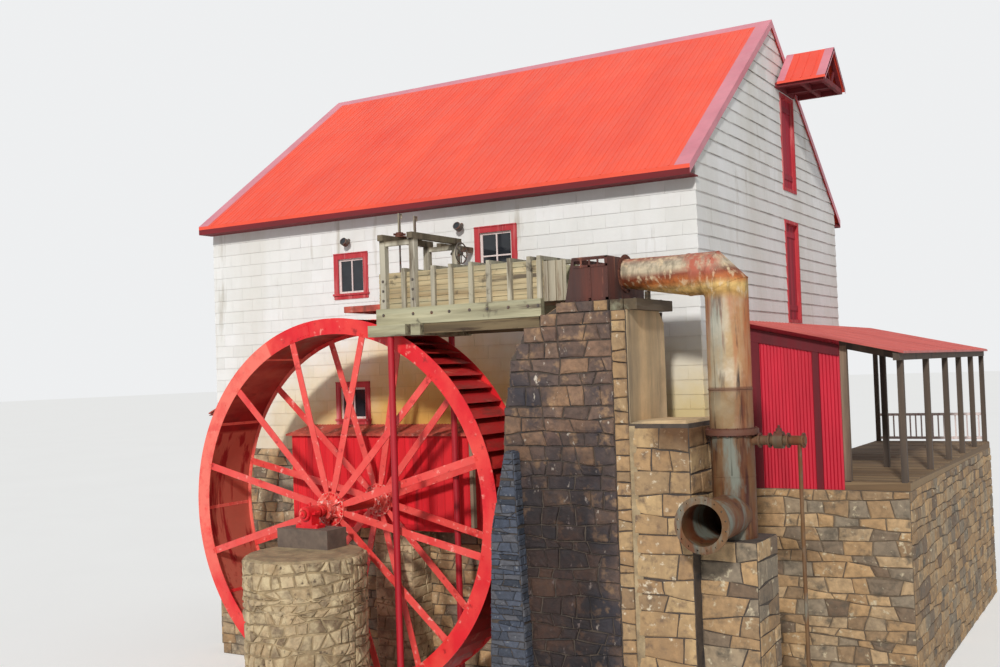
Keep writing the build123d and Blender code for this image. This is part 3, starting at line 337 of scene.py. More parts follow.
wheel_inner_paint = surface(
    "wheel_inner", ((168, 34, 32), (142, 26, 28), (186, 50, 44)), 1.1, mottle=0.2, rough=(0.35, 0.6),
    relief=painted,
    layers=(((186, 92, 76), 0.3, 0.9, (1, 0.3, 1), 0.1), ((106, 30, 26), 0.2, 0.25, (1, 0.3, 1), 0.06)),
)
bucket_paint = surface(
    "bucket_red", ((214, 40, 40), (196, 30, 34), (224, 58, 50)), 0.7, by_piece=True, mottle=0.2,
    rough=(0.4, 0.65), relief=painted,
    layers=(((150, 50, 42), 0.25, 0.3, (1, 0.4, 1), 0.08), ((230, 120, 104), 0.1, 0.2, (1, 0.4, 1), 0.05)),
)
machine_grey = surface(
    "grey_steel", ((96, 92, 88), (122, 114, 106)), 0.2, mottle=0.3, rough=(0.45, 0.7), metal=0.6,
    relief=(0.001, 0.02), layers=(((126, 74, 52), 0.3, 0.08, EVEN, 0.08),),
)
shaft_red = surface(
    "shaft_steel", ((206, 60, 48), (190, 44, 40)), 0.4, mottle=0.2, rough=(0.35, 0.6), relief=(0.001, 0.05)
)
pale_metal = surface(
    "pale_metal", ((160, 150, 128), (184, 174, 152), (132, 120, 102)), 0.4, STREAKS, mottle=0.2,
    rough=(0.45, 0.7), metal=0.3, relief=(0.001, 0.05), layers=(((118, 88, 66), 0.25, 0.15, STREAKS, 0.08),),
)
box_rust = surface(
    "rust_red_steel", ((88, 50, 42), (102, 56, 46), (70, 46, 42)), 0.5, STREAKS, mottle=0.4,
    rough=(0.65, 0.85), metal=0.1, relief=(0.0015, 0.04),
    layers=(((70, 50, 46), 0.25, 0.3, STREAKS, 0.08), ((158, 100, 78), 0.12, 0.12, STREAKS, 0.05)),
)
pipe_patina = surface(
    "old_pipe", ((208, 190, 156), (190, 160, 118), (222, 208, 184)), 0.8,
    rough=(0.55, 0.85), metal=0.1, relief=(0.0015, 0.04),
    layers=(((150, 156, 146), 0.3, 0.5, STREAKS, 0.1), ((176, 100, 54), 0.42, 0.4, STREAKS, 0.1),
            ((110, 58, 40), 0.22, 0.22, STREAKS, 0.06), ((70, 58, 50), 0.14, 0.16, STREAKS, 0.06)),
)
flange_rust = surface(
    "flange_rust", ((116, 66, 48), (92, 50, 40), (146, 88, 58)), 0.25, mottle=0.35, relief=fine
)
post_red = surface(
    "post_red", ((192, 26, 44), (172, 20, 36)), 0.5, STREAKS, rough=(0.4, 0.6), relief=(0.001, 0.05)
)
glass = surface(
    "glass", ((28, 30, 34), (46, 50, 56)), 0.5, mottle=0.1, rough=(0.04, 0.1), relief=(0.0004, 0.3)
)


def timber(name, grain, palette, green=0.2):
    """Weathered wood, with a share of green bloom, and darker grain and blots."""
    return surface(
        name, palette, 0.4, grain, mottle=0.35, rough=(0.8, 0.95), tone=0.22,
        layers=(((176, 176, 148), green, 0.5, grain, 0.12), ((104, 92, 76), 0.2, 0.14, grain, 0.05),
                ((64, 56, 48), 0.1, 0.35, EVEN, 0.06)),
    )


flume_boards = timber(
    "flume_boards", ALONG_X, ((200, 178, 136), (182, 156, 116), (212, 194, 154), (164, 138, 102)), 0.08
)
cap_timber = timber(
    "old_cap_timber", ALONG_Y, ((88, 74, 56), (106, 90, 68), (72, 62, 50), (122, 104, 80)), 0.02
)
timber_x = timber(
    "flume_timber_lengthways", ALONG_X,
    ((184, 178, 146), (202, 196, 162), (162, 154, 124), (210, 204, 172)), 0.3
)
timber_y = timber(
    "flume_timber_across", ALONG_Y, ((172, 160, 130), (192, 180, 150), (150, 138, 112), (204, 194, 166))
)
timber_z = timber(
    "flume_timber_upright", ALONG_Z,
    ((196, 186, 162), (212, 204, 182), (176, 166, 144), (220, 212, 192)), 0.15
)
dark_timber = surface("porch_timber", ((72, 62, 54), (96, 82, 70), (54, 46, 42)), 0.4, ALONG_Z, mottle=0.35)
grey_post = surface(
    "weathered_post", ((126, 104, 86), (152, 130, 108), (98, 80, 66)), 0.4, ALONG_Z, mottle=0.35
)
planks = surface(
    "plank_floor", ((142, 116, 84), (120, 96, 70), (158, 132, 98)), 0.3, ALONG_X, True, 0.3, relief=fine
)
screen_red = surface(
    "screen_red", ((186, 18, 44), (204, 26, 54), (168, 14, 38)), 0.6, STREAKS, mottle=0.15,
    rough=(0.4, 0.6), relief=painted,
)
screen_frame_red = surface("screen_frame_red", ((92, 18, 28), (116, 24, 36)), 0.4, ALONG_Z, relief=fine)
porch_red = surface(
    "porch_roof_red", ((178, 78, 74), (200, 98, 90), (156, 60, 60)), 0.9, (0.25, 1, 1),
    mottle=0.15, rough=(0.4, 0.6), relief=(0.001, 0.2),
)
mortar = surface(
    "mortar", ((138, 122, 98), (116, 100, 82), (90, 78, 66)), 0.3, mottle=0.4, relief=(0.006, 0.03)
)
dark_mortar = surface(
    "dark_mortar", ((66, 58, 54), (86, 74, 64), (48, 44, 44)), 0.4, mottle=0.35, relief=(0.006, 0.03)
)
pale_mortar = surface(
    "pale_mortar", ((190, 168, 132), (168, 146, 112), (132, 114, 90)), 0.4, mottle=0.35, relief=(0.012, 0.03)
)
concrete = surface(
    "concrete", ((212, 180, 136), (226, 196, 152), (196, 166, 126)), 1.2, mottle=0.2, relief=(0.004, 0.05),
    layers=(((150, 134, 110), 0.25, 0.7, STREAKS, 0.14), ((112, 102, 90), 0.1, 0.3, STREAKS, 0.08)),
)
block_concrete = surface("block_concrete", ((98, 84, 76), (118, 102, 90), (80, 70, 66)), 0.5)
field_stone = surface(
    "field_stone",
    ((166, 134, 98), (194, 158, 114), (140, 116, 90), (206, 172, 128), (150, 136, 116), (122, 100, 80)),
    0.4, by_piece=True, mottle=0.4, relief=(0.012, 0.08),
    layers=(((92, 84, 72), 0.18, 0.3, EVEN, 0.08), ((204, 190, 160), 0.14, 0.14, EVEN, 0.05)),
)
pier_stone = surface(
    "pier_stone",
    ((122, 96, 80), (98, 80, 72), (144, 112, 90), (86, 74, 72), (132, 106, 90), (160, 124, 94),
     (108, 84, 76)),
    0.4, by_piece=True, mottle=0.5, relief=(0.03, 0.12),
    layers=(((54, 50, 56), 0.42, 1.1, EVEN, 0.1), ((168, 134, 100), 0.2, 0.3, EVEN, 0.08),
            ((206, 194, 178), 0.1, 0.12, (1, 1, 0.5), 0.03)),
)
tan_stone = surface(
    "tan_stone", ((186, 150, 108), (168, 134, 96), (202, 170, 124), (150, 122, 92)), 0.4,
    by_piece=True, mottle=0.3, relief=(0.01, 0.07),
    layers=(((112, 92, 74), 0.24, 0.22, EVEN, 0.08), ((146, 118, 88), 0.3, 0.5, STREAKS, 0.1),
            ((226, 212, 186), 0.12, 0.14, EVEN, 0.05)),
)
dark_stone = surface(
    "dark_rubble", ((66, 74, 90), (84, 90, 104), (50, 56, 68), (98, 98, 104), (72, 78, 90)), 0.3,
    by_piece=True, mottle=0.45, relief=(0.02, 0.06), layers=(((140, 142, 146), 0.1, 0.08, EVEN, 0.05),),
)
pale_rubble = surface(
    "pale_rubble", ((148, 124, 92), (178, 152, 116), (198, 174, 138), (132, 110, 84), (166, 146, 118)), 0.3,
    by_piece=True, mottle=0.35, relief=(0.01, 0.05),
    layers=(((206, 186, 148), 0.4, 0.3, EVEN, 0.1), ((96, 80, 62), 0.14, 0.12, EVEN, 0.05)),
)
floor_pale = surface(
    "studio_floor", ((236, 236, 234), (239, 239, 237)), 6.0, mottle=0.01, rough=(0.9, 0.95),
    relief=(0.0005, 0.03),
)


def seen_directly(tree):
    """1 for what the camera sees, also in metal and through glass, 0 for the light on the object."""
    rays = tree.nodes.new("ShaderNodeLightPath").outputs
    either = maths(tree, "MAXIMUM", rays["Is Camera Ray"], rays["Is Glossy Ray"])
    return maths(tree, "MAXIMUM", either, rays["Is Transmission Ray"])


tree = floor_pale.node_tree
floor_shader = tree.nodes["Principled BSDF"]
floor_shader.inputs["Specular IOR Level"].default_value = 0.0
floor_shader.inputs["Emission Color"].default_value = (1.0, 1.0, 1.0, 1.0)
glow = maths(tree, "MULTIPLY", seen_directly(tree), floor_glow)
tree.links.new(glow, floor_shader.inputs["Emission Strength"])


# Shapes
def joined(count, rows, closed=False):
    """Faces between rings of count points each, one ring after the other."""
    faces = []
    for row in range(rows if closed else rows - 1):
        here, there = row * count, (row + 1) % rows * count
        for i in range(count):
            j = (i + 1) % count
            faces.append((here + i, here + j, there + j, there + i))
    return faces


def circle(centre, axis, radius, sides, turn=0.0):
    """Points round an axis."""
    one = axis.orthogonal().normalized()
    two = axis.cross(one)
    angles = [turn + 2 * math.pi * i / sides for i in range(sides)]
    return [centre + (one * math.cos(angle) + two * math.sin(angle)) * radius for angle in angles]


def level_way(degrees):
    """A level direction, at that angle from X."""
    return Vector((math.cos(math.radians(degrees)), math.sin(math.radians(degrees)), 0))


class Shape:
    """Points and faces of one piece."""

    def __init__(self):
        self.points = []
        self.faces = []

    def add(self, points, faces):
        start = len(self.points)
        self.points.extend(Vector(p) for p in points)
        self.faces.extend([start + i for i in face] for face in faces)

    def rings(self, rings, closed=False):
        """Rings of points joined one after the other. Both ends get a face, unless the last ring
        is joined to the first."""
        points = [point for ring in rings for point in ring]
        count = len(rings[0])
        faces = joined(count, len(rings), closed)
        if not closed:
            faces += [tuple(reversed(range(count))), tuple(range(len(points) - count, len(points)))]
        self.add(points, faces)

    def box(self, x0, x1, y0, y1, z0, z1):
        corners = [(x, y, z) for z in (z0, z1) for y in (y0, y1) for x in (x0, x1)]
        sides = ((0, 2, 3, 1), (4, 5, 7, 6), (0, 1, 5, 4), (2, 6, 7, 3), (0, 4, 6, 2), (1, 3, 7, 5))
        self.add(corners, sides)

    def prism(self, outline, path):
        """A flat outline of points, drawn out along a vector."""
        first = [Vector(p) for p in outline]
        self.rings([first, [p + Vector(path) for p in first]])

    def rib(self, start, across, half, rise, path, crest=0.45):
        """A rib with sloping sides: half as wide as its foot is, and its crest a share of that."""
        foot, top = across * half, across * half * crest
        self.prism([start - foot, start + foot, start + top + rise, start - top + rise], path)

    def bar(self, start, end, width, depth, side):
        """A straight bar of that width along side, and depth across it."""
        start, end, side = Vector(start), Vector(end), Vector(side).normalized()
        out = (end - start).cross(side).normalized()
        corners = [start + side * a * width / 2 + out * b * depth / 2
                   for a, b in ((-1, -1), (1, -1), (1, 1), (-1, 1))]
        self.prism(corners, end - start)

    def disc(self, centre, axis, radius, height, sides=6, turn=0.0, taper=1.0):
        """A round or many-sided plug that stands on centre along axis."""
        centre, axis = Vector(centre), Vector(axis).normalized()
        self.rings([circle(centre + axis * level, axis, size, sides, turn)
                    for level, size in ((0.0, radius), (height, radius * taper))])

    def bolt(self, centre, axis, size=0.018):
        """A washer with a six-sided head on it."""
        self.disc(centre, axis, size * 1.5, size * 0.3, 10)
        self.disc(Vector(centre) + Vector(axis).normalized() * size * 0.3, axis, size, size * 0.8, 6, 0.3)

    def rivet(self, centre, axis, height=0.008):
        self.disc(centre, axis, 0.012, height, 8, 0, 0.6)

    def lathe(self, centre, axis, profile, sides=32):
        """(distance along the axis, radius) points turned round the axis."""
        centre, axis = Vector(centre), Vector(axis).normalized()
        self.rings([circle(centre + axis * level, axis, radius, sides) for level, radius in profile], True)

    def slab(self, outline, skin, depths):
        """A thin closed piece on a surface, with one depth for all of its outline or one a corner."""
        if not isinstance(depths, list):
            depths = [depths] * len(outline)
        back = [skin(u, v, 0.0) for u, v in outline]
        self.rings([back, [skin(u, v, depth) for (u, v), depth in zip(outline, depths)]])

    def stone(self, outline, skin, proud, rng):
        """A rough stone with rounded edges: rings of the outline that close in towards its face."""
        corners = []
        for i, corner in enumerate(outline):
            corner = Vector(corner)
            edge = Vector(outline[(i + 1) % len(outline)]) - corner
            corners.append(corner)
            if edge.length > 0.1:
                across = Vector((edge.y, -edge.x)).normalized() * rng.uniform(-0.008, 0.008)
                corners.append(corner + edge * rng.uniform(0.35, 0.65) + across)
        count = len(corners)
        middle = Vector((sum(u for u, v in corners), sum(v for u, v in corners))) / count
        reach = min((corner - middle).length for corner in corners)
        points = []
        for inset, depth in ((0.0, -0.02), (0.02, proud * 0.3), (0.12, proud * 0.8), (0.45, proud)):
            for corner in corners:
                place = corner.lerp(middle, inset)
                wobble = rng.uniform(-0.12, 0.12) * reach if inset else 0.0
                rise = depth * rng.uniform(0.75, 1.2) if inset else depth
                points.append(skin(place.x + wobble * 0.5, place.y + wobble * 0.4, rise))
        points.append(skin(middle.x, middle.y, proud * rng.uniform(0.8, 1.2)))
        top = 3 * count
        fan = [(top + i, top + (i + 1) % count, top + count) for i in range(count)]
        self.add(points, joined(count, 4) + fan)


def place(shape, name, material, slot, body="mill", hides=(), smooth=False, bevel=0.0):
    """Makes the piece, in the model's own place."""
    mesh = bpy.data.meshes.new(name)
    mesh.from_pydata([p + from_axle for p in shape.points], [], shape.faces)
    work = bmesh.new()
    work.from_mesh(mesh)
    bmesh.ops.recalc_face_normals(work, faces=work.faces)
    work.to_mesh(mesh)
    work.free()
    mesh.materials.append(material)
    mesh.polygons.foreach_set("use_smooth", [smooth] * len(mesh.polygons))
    piece = bpy.data.objects.new(name, mesh)
    bpy.context.scene.collection.objects.link(piece)
    if bevel:
        edge = piece.modifiers.new("edges", "BEVEL")
        edge.width = bevel
        edge.segments = 1
        edge.limit_method = "ANGLE"
    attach(piece, body)
    if hides:
        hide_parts(*hides)
    return piece


def flat(origin, along, up):
    """Places on a plane: along and up are its own directions, and depth stands out from it."""
    origin, along, up = Vector(origin), Vector(along).normalized(), Vector(up).normalized()
    out = along.cross(up)
    return lambda u, v, depth: origin + along * u + up * v + out * depth


def face(way, plane, start, end):
    """An upright face that looks that way: its surface and, as seen from outside, its left and right end."""
    along = {"front": X, "back": -X, "right": Y, "left": -Y}[way]
    origin = Y * plane if along.x else X * plane
    sign = along.x + along.y
    return flat(origin, along, Z), *sorted((start * sign, end * sign))


def without(cell, hole):
    """What is left of the rectangle (u0, u1, v0, v1) outside a hole, as rectangles."""
    u0, u1, v0, v1 = cell
    a, b, c, d = hole
    if b <= u0 or a >= u1 or d <= v0 or c >= v1:
        return [cell]
    low, high = max(u0, a), min(u1, b)
    parts = ((a > u0, (u0, a, v0, v1)), (b < u1, (b, u1, v0, v1)),
             (c > v0, (low, high, v0, c)), (d < v1, (low, high, d, v1)))
    return [part for left_over, part in parts if left_over]


def clipped(outline, limits):
    """The part of an outline where a * u + b * v <= c, for every (a, b, c)."""
    for a, b, c in limits:
        kept = []
        for i, (u, v) in enumerate(outline):
            next_u, next_v = outline[(i + 1) % len(outline)]
            here = a * u + b * v - c
            there = a * next_u + b * next_v - c
            if here <= 0:
                kept.append((u, v))
            if here * there < 0:
                share = here / (here - there)
                kept.append((u + (next_u - u) * share, v + (next_v - v) * share))
        outline = kept
        if len(outline) < 3:
            return []
    return outline


def siding(name, wall, top, limits, holes, seed, proud=shingle_proud):
    """Rows of square shingles with staggered joints, each a wedge that is thickest at its foot."""
    skin, left, right = wall
    rng = random.Random(seed)
    shape = Shape()
    row = 0
    while stone_top + row * shingle_height < top:
        foot = stone_top + row * shingle_height
        head = min(foot + shingle_height, top)
        u = left - (shingle_width / 2 if row % 2 else 0) - rng.uniform(0, 0.05)
        while u < right:
            cells = [(max(u, left), min(u + shingle_width - 0.004, right), foot, head)]
            for hole in holes:
                cells = [part for cell in cells for part in without(cell, hole)]
            drop = rng.uniform(0.0, 0.004)
            extra = rng.uniform(0.0, 0.003)
            for u0, u1, v0, v1 in cells:
                if u1 - u0 < 0.01:
                    continue
                low = v0 - drop if v0 == foot and row else v0
                outline = clipped([(u0, low), (u1, low), (u1, v1), (u0, v1)], limits)
                if outline:
                    shares = [max(0.0, 1 - (v - foot) / shingle_height) for _, v in outline]
                    shape.slab(outline, skin, [0.002 + (proud + extra) * share for share in shares])
            u += shingle_width
        row += 1
    return place(shape, name, white_siding, "white_siding")


def masonry(shape, skin, left, right, bottom, top, row_height, stone_length, proud, seed,
            limits=(), rough=0.3, joint=0.008):
    """Courses of stones on a surface, with uneven beds and joints."""
    rng = random.Random(seed)
    rows = max(1, round((top - bottom) / row_height))
    heights = [rng.uniform(1 - rough, 1 + rough) for _ in range(rows)]
    scale = (top - bottom) / sum(heights)
    level = bottom

    def bed(row, u):
        if row in (0, rows):
            return 0.0
        wave = math.sin(u * 2.3 + row * 1.9 + seed) + 0.6 * math.sin(u * 5.1 + row * 3.7)
        return 0.14 * row_height * rough / 0.3 * wave

    for row in range(rows):
        high = level + heights[row] * scale
        u = left
        lean = 0.0
        while u < right - 0.02:
            end = min(right, u + stone_length * rng.uniform(0.6, 1.5))
            if right - end < stone_length * 0.35:
                end = right
            next_lean = 0.0 if end == right else rng.uniform(-0.12, 0.12) * stone_length * rough / 0.3
            u0b, u0t, u1b, u1t = u - lean, u + lean, end - next_lean, end + next_lean
            outline = clipped([
                (u0b + joint, level + bed(row, u0b) + joint),
                (u1b - joint, level + bed(row, u1b) + joint),
                (u1t - joint, high + bed(row + 1, u1t) - joint),
                (u0t + joint, high + bed(row + 1, u0t) - joint),
            ], limits)
            if outline:
                spans = [max(places) - min(places) for places in zip(*outline)]
                if min(spans) > 0.04:
                    shape.stone(outline, skin, proud * rng.uniform(0.7, 1.15), rng)
            u = end
            lean = next_lean
        level = high


def stone_faces(name, faces, top, courses, seed):
    """Field stone from the ground up on upright faces, each with the next seed."""
    shape = Shape()
    for number, line in enumerate(faces):
        masonry(shape, *face(*line), 0.0, top, *courses, seed + number)
    place(shape, name, field_stone, "rubble_stone")


def boards(shape, skin, left, right, bottom, top, pitch, gap, proud, rng, upright=True, limits=()):
    """Boards side by side on a surface, upright or lying."""
    start, end = (left, right) if upright else (bottom, top)
    count = max(1, round((end - start) / pitch))
    step = (end - start) / count
    for i in range(count):
        a, b = start + i * step + gap / 2, start + (i + 1) * step - gap / 2
        sway = [rng.uniform(-gap, gap) * 0.4 for _ in range(4)]
        if upright:
            outline = [(a + sway[0], bottom), (b + sway[1], bottom), (b + sway[2], top), (a + sway[3], top)]
        else:
            outline = [(left, a + sway[0]), (right, a + sway[1]), (right, b + sway[2]), (left, b + sway[3])]
        outline = clipped(outline, limits)
        if outline:
            shape.slab(outline, skin, proud * rng.uniform(0.75, 1.0))


def corrugated(shape, corner, across, down, out, width, length, pitch, height):
    """A wavy metal sheet lying on a surface, its waves running down."""
    corner, base = Vector(corner), 0.002
    steps = max(6, round(width / pitch) * 6)
    crest = []
    for i in range(steps + 1):
        rise = base + height * (0.5 - 0.5 * math.cos(2 * math.pi * i / 6))
        crest.append(corner + across * (width * i / steps) + out * rise)
    shape.prism(crest + [corner + across * width, corner], down * length)


# Materials of the model's own solids
finishes = (
    (mortar, "foundation", "porch_foundation"),
    (dark_mortar, "main_pier", "pier_buttress"),
    (block_concrete, "bearing_block"),
    (white_siding, "front_wall", "back_wall", "left_wall", "right_wall"),
    (planks, "floors", "porch_deck"),
    (roof_red, "roof", "hood_roof"),
    (porch_red, "porch_roof"),
    (flashing, "roof_trims"),
    (dark_red_wood, "eave_boards", "hood_frame"),
    (door_red, "loading_doors"),
    (dark_timber, "porch_frame"),
    (faded_red_wood, "window_and_door_casings"),
    (board_red, "lean_to_walls"),
    (white_paint, "window_sashes", "porch_railing"),
    (glass, "window_glass"),
    (rusty_sheet, "lean_to_roofs", "flume_lip"),
    (screen_red, "porch_screen_wall"),
    (timber_x, "flume_bearers", "flume_sills", "flume_channel"),
    (timber_y, "sluice_gate"),
    (timber_z, "flume_frames", "gate_frame"),
    (cap_timber, "pier_cap_timbers"),
    (wheel_paint, "wheel_rings", "bearing_housings"),
    (spoke_paint, "wheel_spokes"),
    (bucket_paint, "wheel_buckets"),
    (hub_paint, "wheel_hubs"),
    (wheel_inner_paint, "wheel_sole"),
    (shaft_red, "wheel_shaft"),
    (machine_grey, "gate_stems", "hand_wheel", "floodlights"),
    (post_red, "pipe_posts"),
    (pale_metal, "metal_trough"),
    (box_rust, "steel_box"),
    (pipe_patina, "supply_pipe"),
)
for material, *names in finishes:
    for name in names:
        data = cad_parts[name].data
        data.materials.clear()
        data.materials.append(material)

# Walls: golden where the wheel's spray dries, and at the foot of each course a dark line, partly dirt and
# partly painted shade as under the shingle butts
tree = white_siding.node_tree
on_front = fade(tree, "Y", 3.4, 2.6, 0.0)
tint(white_siding, (240, 218, 164), "MULTIPLY", ("Z", 7.3, 5.6, 0.15), ("X", -4.8, -2.5, 0.15), on_front)
tint(white_siding, (246, 214, 150), "MULTIPLY", gradual(tree, away(tree, 0.7, 5.2), 3.3, 1.0, 0.12), on_front)
# Painted shade: a dark line at the foot of each shingle course, partly dirt, weaker on the front wall
above_stone = maths(tree, "SUBTRACT", along(tree, "Z"), stone_top - 0.004)
above_foot = maths(tree, "MODULO", above_stone, shingle_height)
butt_dirt_and_shade = patches(tree, 0.6, (1, 1, 4), 6.6, 0.3, 0.6, 5.0)
weaker_in_front = maths(tree, "SUBTRACT", 1.0, maths(tree, "MULTIPLY", on_front, 0.85))
dirt_and_shade_line = gradual(tree, above_foot, 0.02, 0.01, 0.0)
tint(white_siding, (160, 156, 150), "MULTIPLY", dirt_and_shade_line, butt_dirt_and_shade, weaker_in_front)
tint(white_siding, (238, 226, 206), "MULTIPLY", ("Z", 5.7, 4.7, 0.12), 0.8)

# Wheel: the paint of its left side is bleached, and rust runs down inside
tree = wheel_paint.node_tree
bleach = maths(tree, "ADD", maths(tree, "MULTIPLY", patches(tree, 0.2, EVEN, 2.2, 0.36, 0.52), 0.4), 0.5)
segment = gradual(tree, turned(tree), 63.0, 62.6, 0.01)
tint(wheel_paint, (244, 122, 106), "MIX", gradual(tree, turned(tree), -38.0, -8.0, 0.3), segment, bleach)
runs = patches(wheel_inner_paint.node_tree, 0.22, (1, 1, 0.1), 3.3, 0.52, 0.6)
for colour, strength in (((204, 114, 92), 0.85), ((156, 34, 36), runs)):
    tint(wheel_inner_paint, colour, "MIX", ("Z", 5.36, 5.3, 0.05, STREAKS), strength)

# Pier: painted shade of trees over the foot and left part, with some damp at the foot, and the ashlar darker
# by the pipe. Flume: the gate beam's top weathered darker, and painted shade on the stringers under the sills
# Painted shade of trees, with some damp at the foot: darker towards the foot and on the pier's left part
tint(pier_stone, (126, 116, 122), "MULTIPLY", ("Z", 5.9, 3.9, 0.35), ("X", 6.25, 5.5))
tint(tan_stone, (160, 138, 118), "MULTIPLY", ("X", 6.5, 6.9, 0.3), ("Z", 4.9, 5.3, 0.3))
tint(timber_z, (156, 146, 134), "MULTIPLY", ("Z", 8.84, 8.9, 0.1), 1.0)
# Painted shade under the sills' overhang, with browner wood: the stringers darker
tint(timber_x, (172, 152, 138), "MULTIPLY", ("Z", 7.35, 7.335, 0.0), ("X", 2.28, 2.31, 0.0), 1.0)

# Pipe: darker below the flange and the joint, with a band of rust at each
tree = pipe_patina.node_tree
tint(pipe_patina, (190, 166, 142), "MULTIPLY", ("Z", 5.34, 5.3, 0.02), 1.0)
tint(pipe_patina, (204, 196, 188), "MULTIPLY", ("Z", 6.0, 5.98, 0.02), 1.0)
tint(pipe_patina, (104, 64, 46), "MIX", ("Z", 6.07, 6.035, 0.03), ("Z", 5.97, 6.0, 0.03), 0.8)
pale_runs = patches(tree, 0.35, (1, 1, 0.25), 1.7, 0.5, 0.62)
tint(pipe_patina, (122, 124, 112), "MIX", ("Z", 5.34, 5.3, 0.02), pale_runs)
tint(pipe_patina, (98, 56, 42), "MIX", ("Z", 5.4, 5.39, 0.0), ("Z", 5.26, 5.27, 0.0), 0.9)

# Pipe's level run: bands of colour one over the other, from low to high, then the rusty elbow
run_low, run_high = 7.57, 8.27
run_colours = (
    (196, 152, 84), (226, 188, 118), (196, 112, 54), (148, 72, 44), (214, 196, 166), (206, 190, 164),
    (172, 92, 66),
)
stops = [(number / (len(run_colours) - 1), rgb(*colour)) for number, colour in enumerate(run_colours)]
run = ramp(tree, fade(tree, "Z", run_low, run_high, 0.1, (0.25, 1, 1)), stops)
run = shaded(tree, run, field(tree, 0.12, (0.3, 1, 1), 7.0, 4.4), 0.35, 0.6, 0.66)
run = shaded(tree, run, field(tree, 0.09, (1, 1, 0.15), 7.0, 6.2), 0.4, 0.54, 0.62)
flecks = patches(tree, 0.1, (1, 1, 0.5), 8.8, 0.53, 0.68, 8.0)
run = blend(tree, "MIX", flecks, run, rgb(216, 192, 156))
tint(pipe_patina, run, "MIX", ("Z", run_low - 0.12, run_low + 0.02, 0.12))
elbow_patches = patches(tree, 0.14, (1, 1, 0.6), 5.1, 0.36, 0.56, 8.0)
tint(pipe_patina, (182, 98, 76), "MIX", ("X", 7.1, 7.25, 0.1), ("X", 7.8, 7.65, 0.1), ("Z", 7.75, 7.98, 0.2),
     elbow_patches)

# Siding on the four walls
lap = 0.005
back_proud, gable_proud = 0.012, 0.014


def left_free(middle, width, low, high, border):
    """The rectangle of an opening and the border round it."""
    half = width / 2 + border - lap
    return (middle - half, middle + half, low - border, high + border)


window_gaps = [left_free(middle, width, sill, sill + height, casing_width)
               for middle, sill, width, height in window_holes]
mirrored = [(-b, -a, c, d) for a, b, c, d in window_gaps]
door_gaps = [left_free(door_middle, door_width, sill, head, door_trim) for sill, head in door_heights]
roof_drop = roof_thickness * math.hypot(1, roof_slope)
wall_top = eave_height + roof_slope * (wall_front - eave_front) - roof_drop - 0.01
gable_top = 13.94
near_line = eave_height - roof_drop - roof_slope * eave_front
far_line = eave_height - roof_drop + roof_slope * eave_back
right_limits = ((-roof_slope, 1, near_line), (roof_slope, 1, far_line))
left_limits = ((roof_slope, 1, near_line), (-roof_slope, 1, far_line))
front_face = ("front", wall_front, wall_left, wall_right)
back_face = ("back", wall_back, wall_left, wall_right)
right_face = ("right", wall_right, wall_front, wall_back)
left_face = ("left", wall_left, wall_front, wall_back)
siding("front_siding", face(*front_face), wall_top, (), window_gaps, 1)
siding("back_siding", face(*back_face), wall_top, (), mirrored, 2, back_proud)
siding("right_siding", face(*right_face), gable_top, right_limits, door_gaps, 3, gable_proud)
siding("left_siding", face(*left_face), gable_top, left_limits, (), 4, gable_proud)

# Ribs of the main roof: a high one and a low one at each pitch, as shift, half width and height
rib_kinds = ((0, 0.022, rib_height), (rib_pitch / 2, 0.008, 0.005))
ribs = Shape()
for sign, edge in ((1, eave_front), (-1, eave_back)):
    down = Vector((0, -sign, -roof_slope)).normalized()
    out = Vector((0, -sign * roof_slope, 1)).normalized()
    top = Vector((0, ridge_y - sign * cap_width, ridge_height - roof_slope * cap_width))
    length = (Vector((0, edge, eave_height)) - top).length
    x = rake_left + trim_width + rib_pitch / 2
    while x < rake_right - trim_width:
        for offset, half, tall in rib_kinds:
            if x + offset < rake_right - trim_width:
                ribs.rib(top + X * (x + offset), X, half, out * tall, down * length)
        x += rib_pitch
place(ribs, "roof_ribs", roof_red, "red_roof")

# Stonework of the mill's foot, of the lean-to base on the left and of the porch base
# Courses: height, length of a stone, how far it stands out
mill_courses, side_courses = (0.23, 0.42, 0.035), (0.22, 0.4, 0.03)
porch_courses, footing_courses = (0.23, 0.42, 0.03), (0.3, 0.5, 0.025)
porch_left_end = 5.2
mill_faces = (front_face, back_face, left_face, ("right", wall_right, wall_front, porch_left_end))
stone_faces("mill_stonework", mill_faces, stone_top, mill_courses, 11)
side_left, side_front, side_back, side_stone = -6.3, 3.2, 5.6, 4.3
side_walls = (
    ("front", side_front, side_left, wall_left),
    ("left", side_left, side_front, side_back),
    ("back", side_back, side_left, wall_left),
)
stone_faces("side_stonework", side_walls, side_stone, side_courses, 21)
porch_front, porch_right, porch_back, porch_stone = 5.155, 9.6, 16.0, 3.9
porch_faces = (
    ("front", porch_front, wall_right, porch_right),
    ("right", porch_right, porch_front, porch_back),
    ("back", porch_back, wall_right, porch_right),
    ("left", wall_right, wall_back, porch_back),
)
stone_faces("porch_stonework", porch_faces, porch_stone, porch_courses, 31)

# Stone pier: courses on its faces, quoins on the lit corner, smooth render on the right face
pier_front, pier_back, pier_right, pier_top = -0.15, 1.425, 6.31, 7.55
pier_shelf_left, pier_shelf = 6.0, 7.37
lower_right, lower_back, lower_top = 7.33, 1.2, 5.5
footing_right, footing_front, footing_back, footing_top = 8.27, 0.125, 1.125, 3.63
quoin = 0.26
course, pier_stone_length = 0.25, 0.38
pier_side = (
    (3.86, 0.0), (3.9, 4.4), (3.93, 5.13), (3.98, 5.8), (4.08, 6.15), (4.12, 6.61),
    (4.33, 6.89), (4.45, 7.16), (4.71, 7.16), (4.72, 7.28), (5.05, 7.47), (5.16, 7.55),
)
pier_levels = (0.0, 1.4, 2.9, 4.4, 5.13, 5.8, 6.15, 6.61, 6.89, 7.16, 7.37, 7.55)


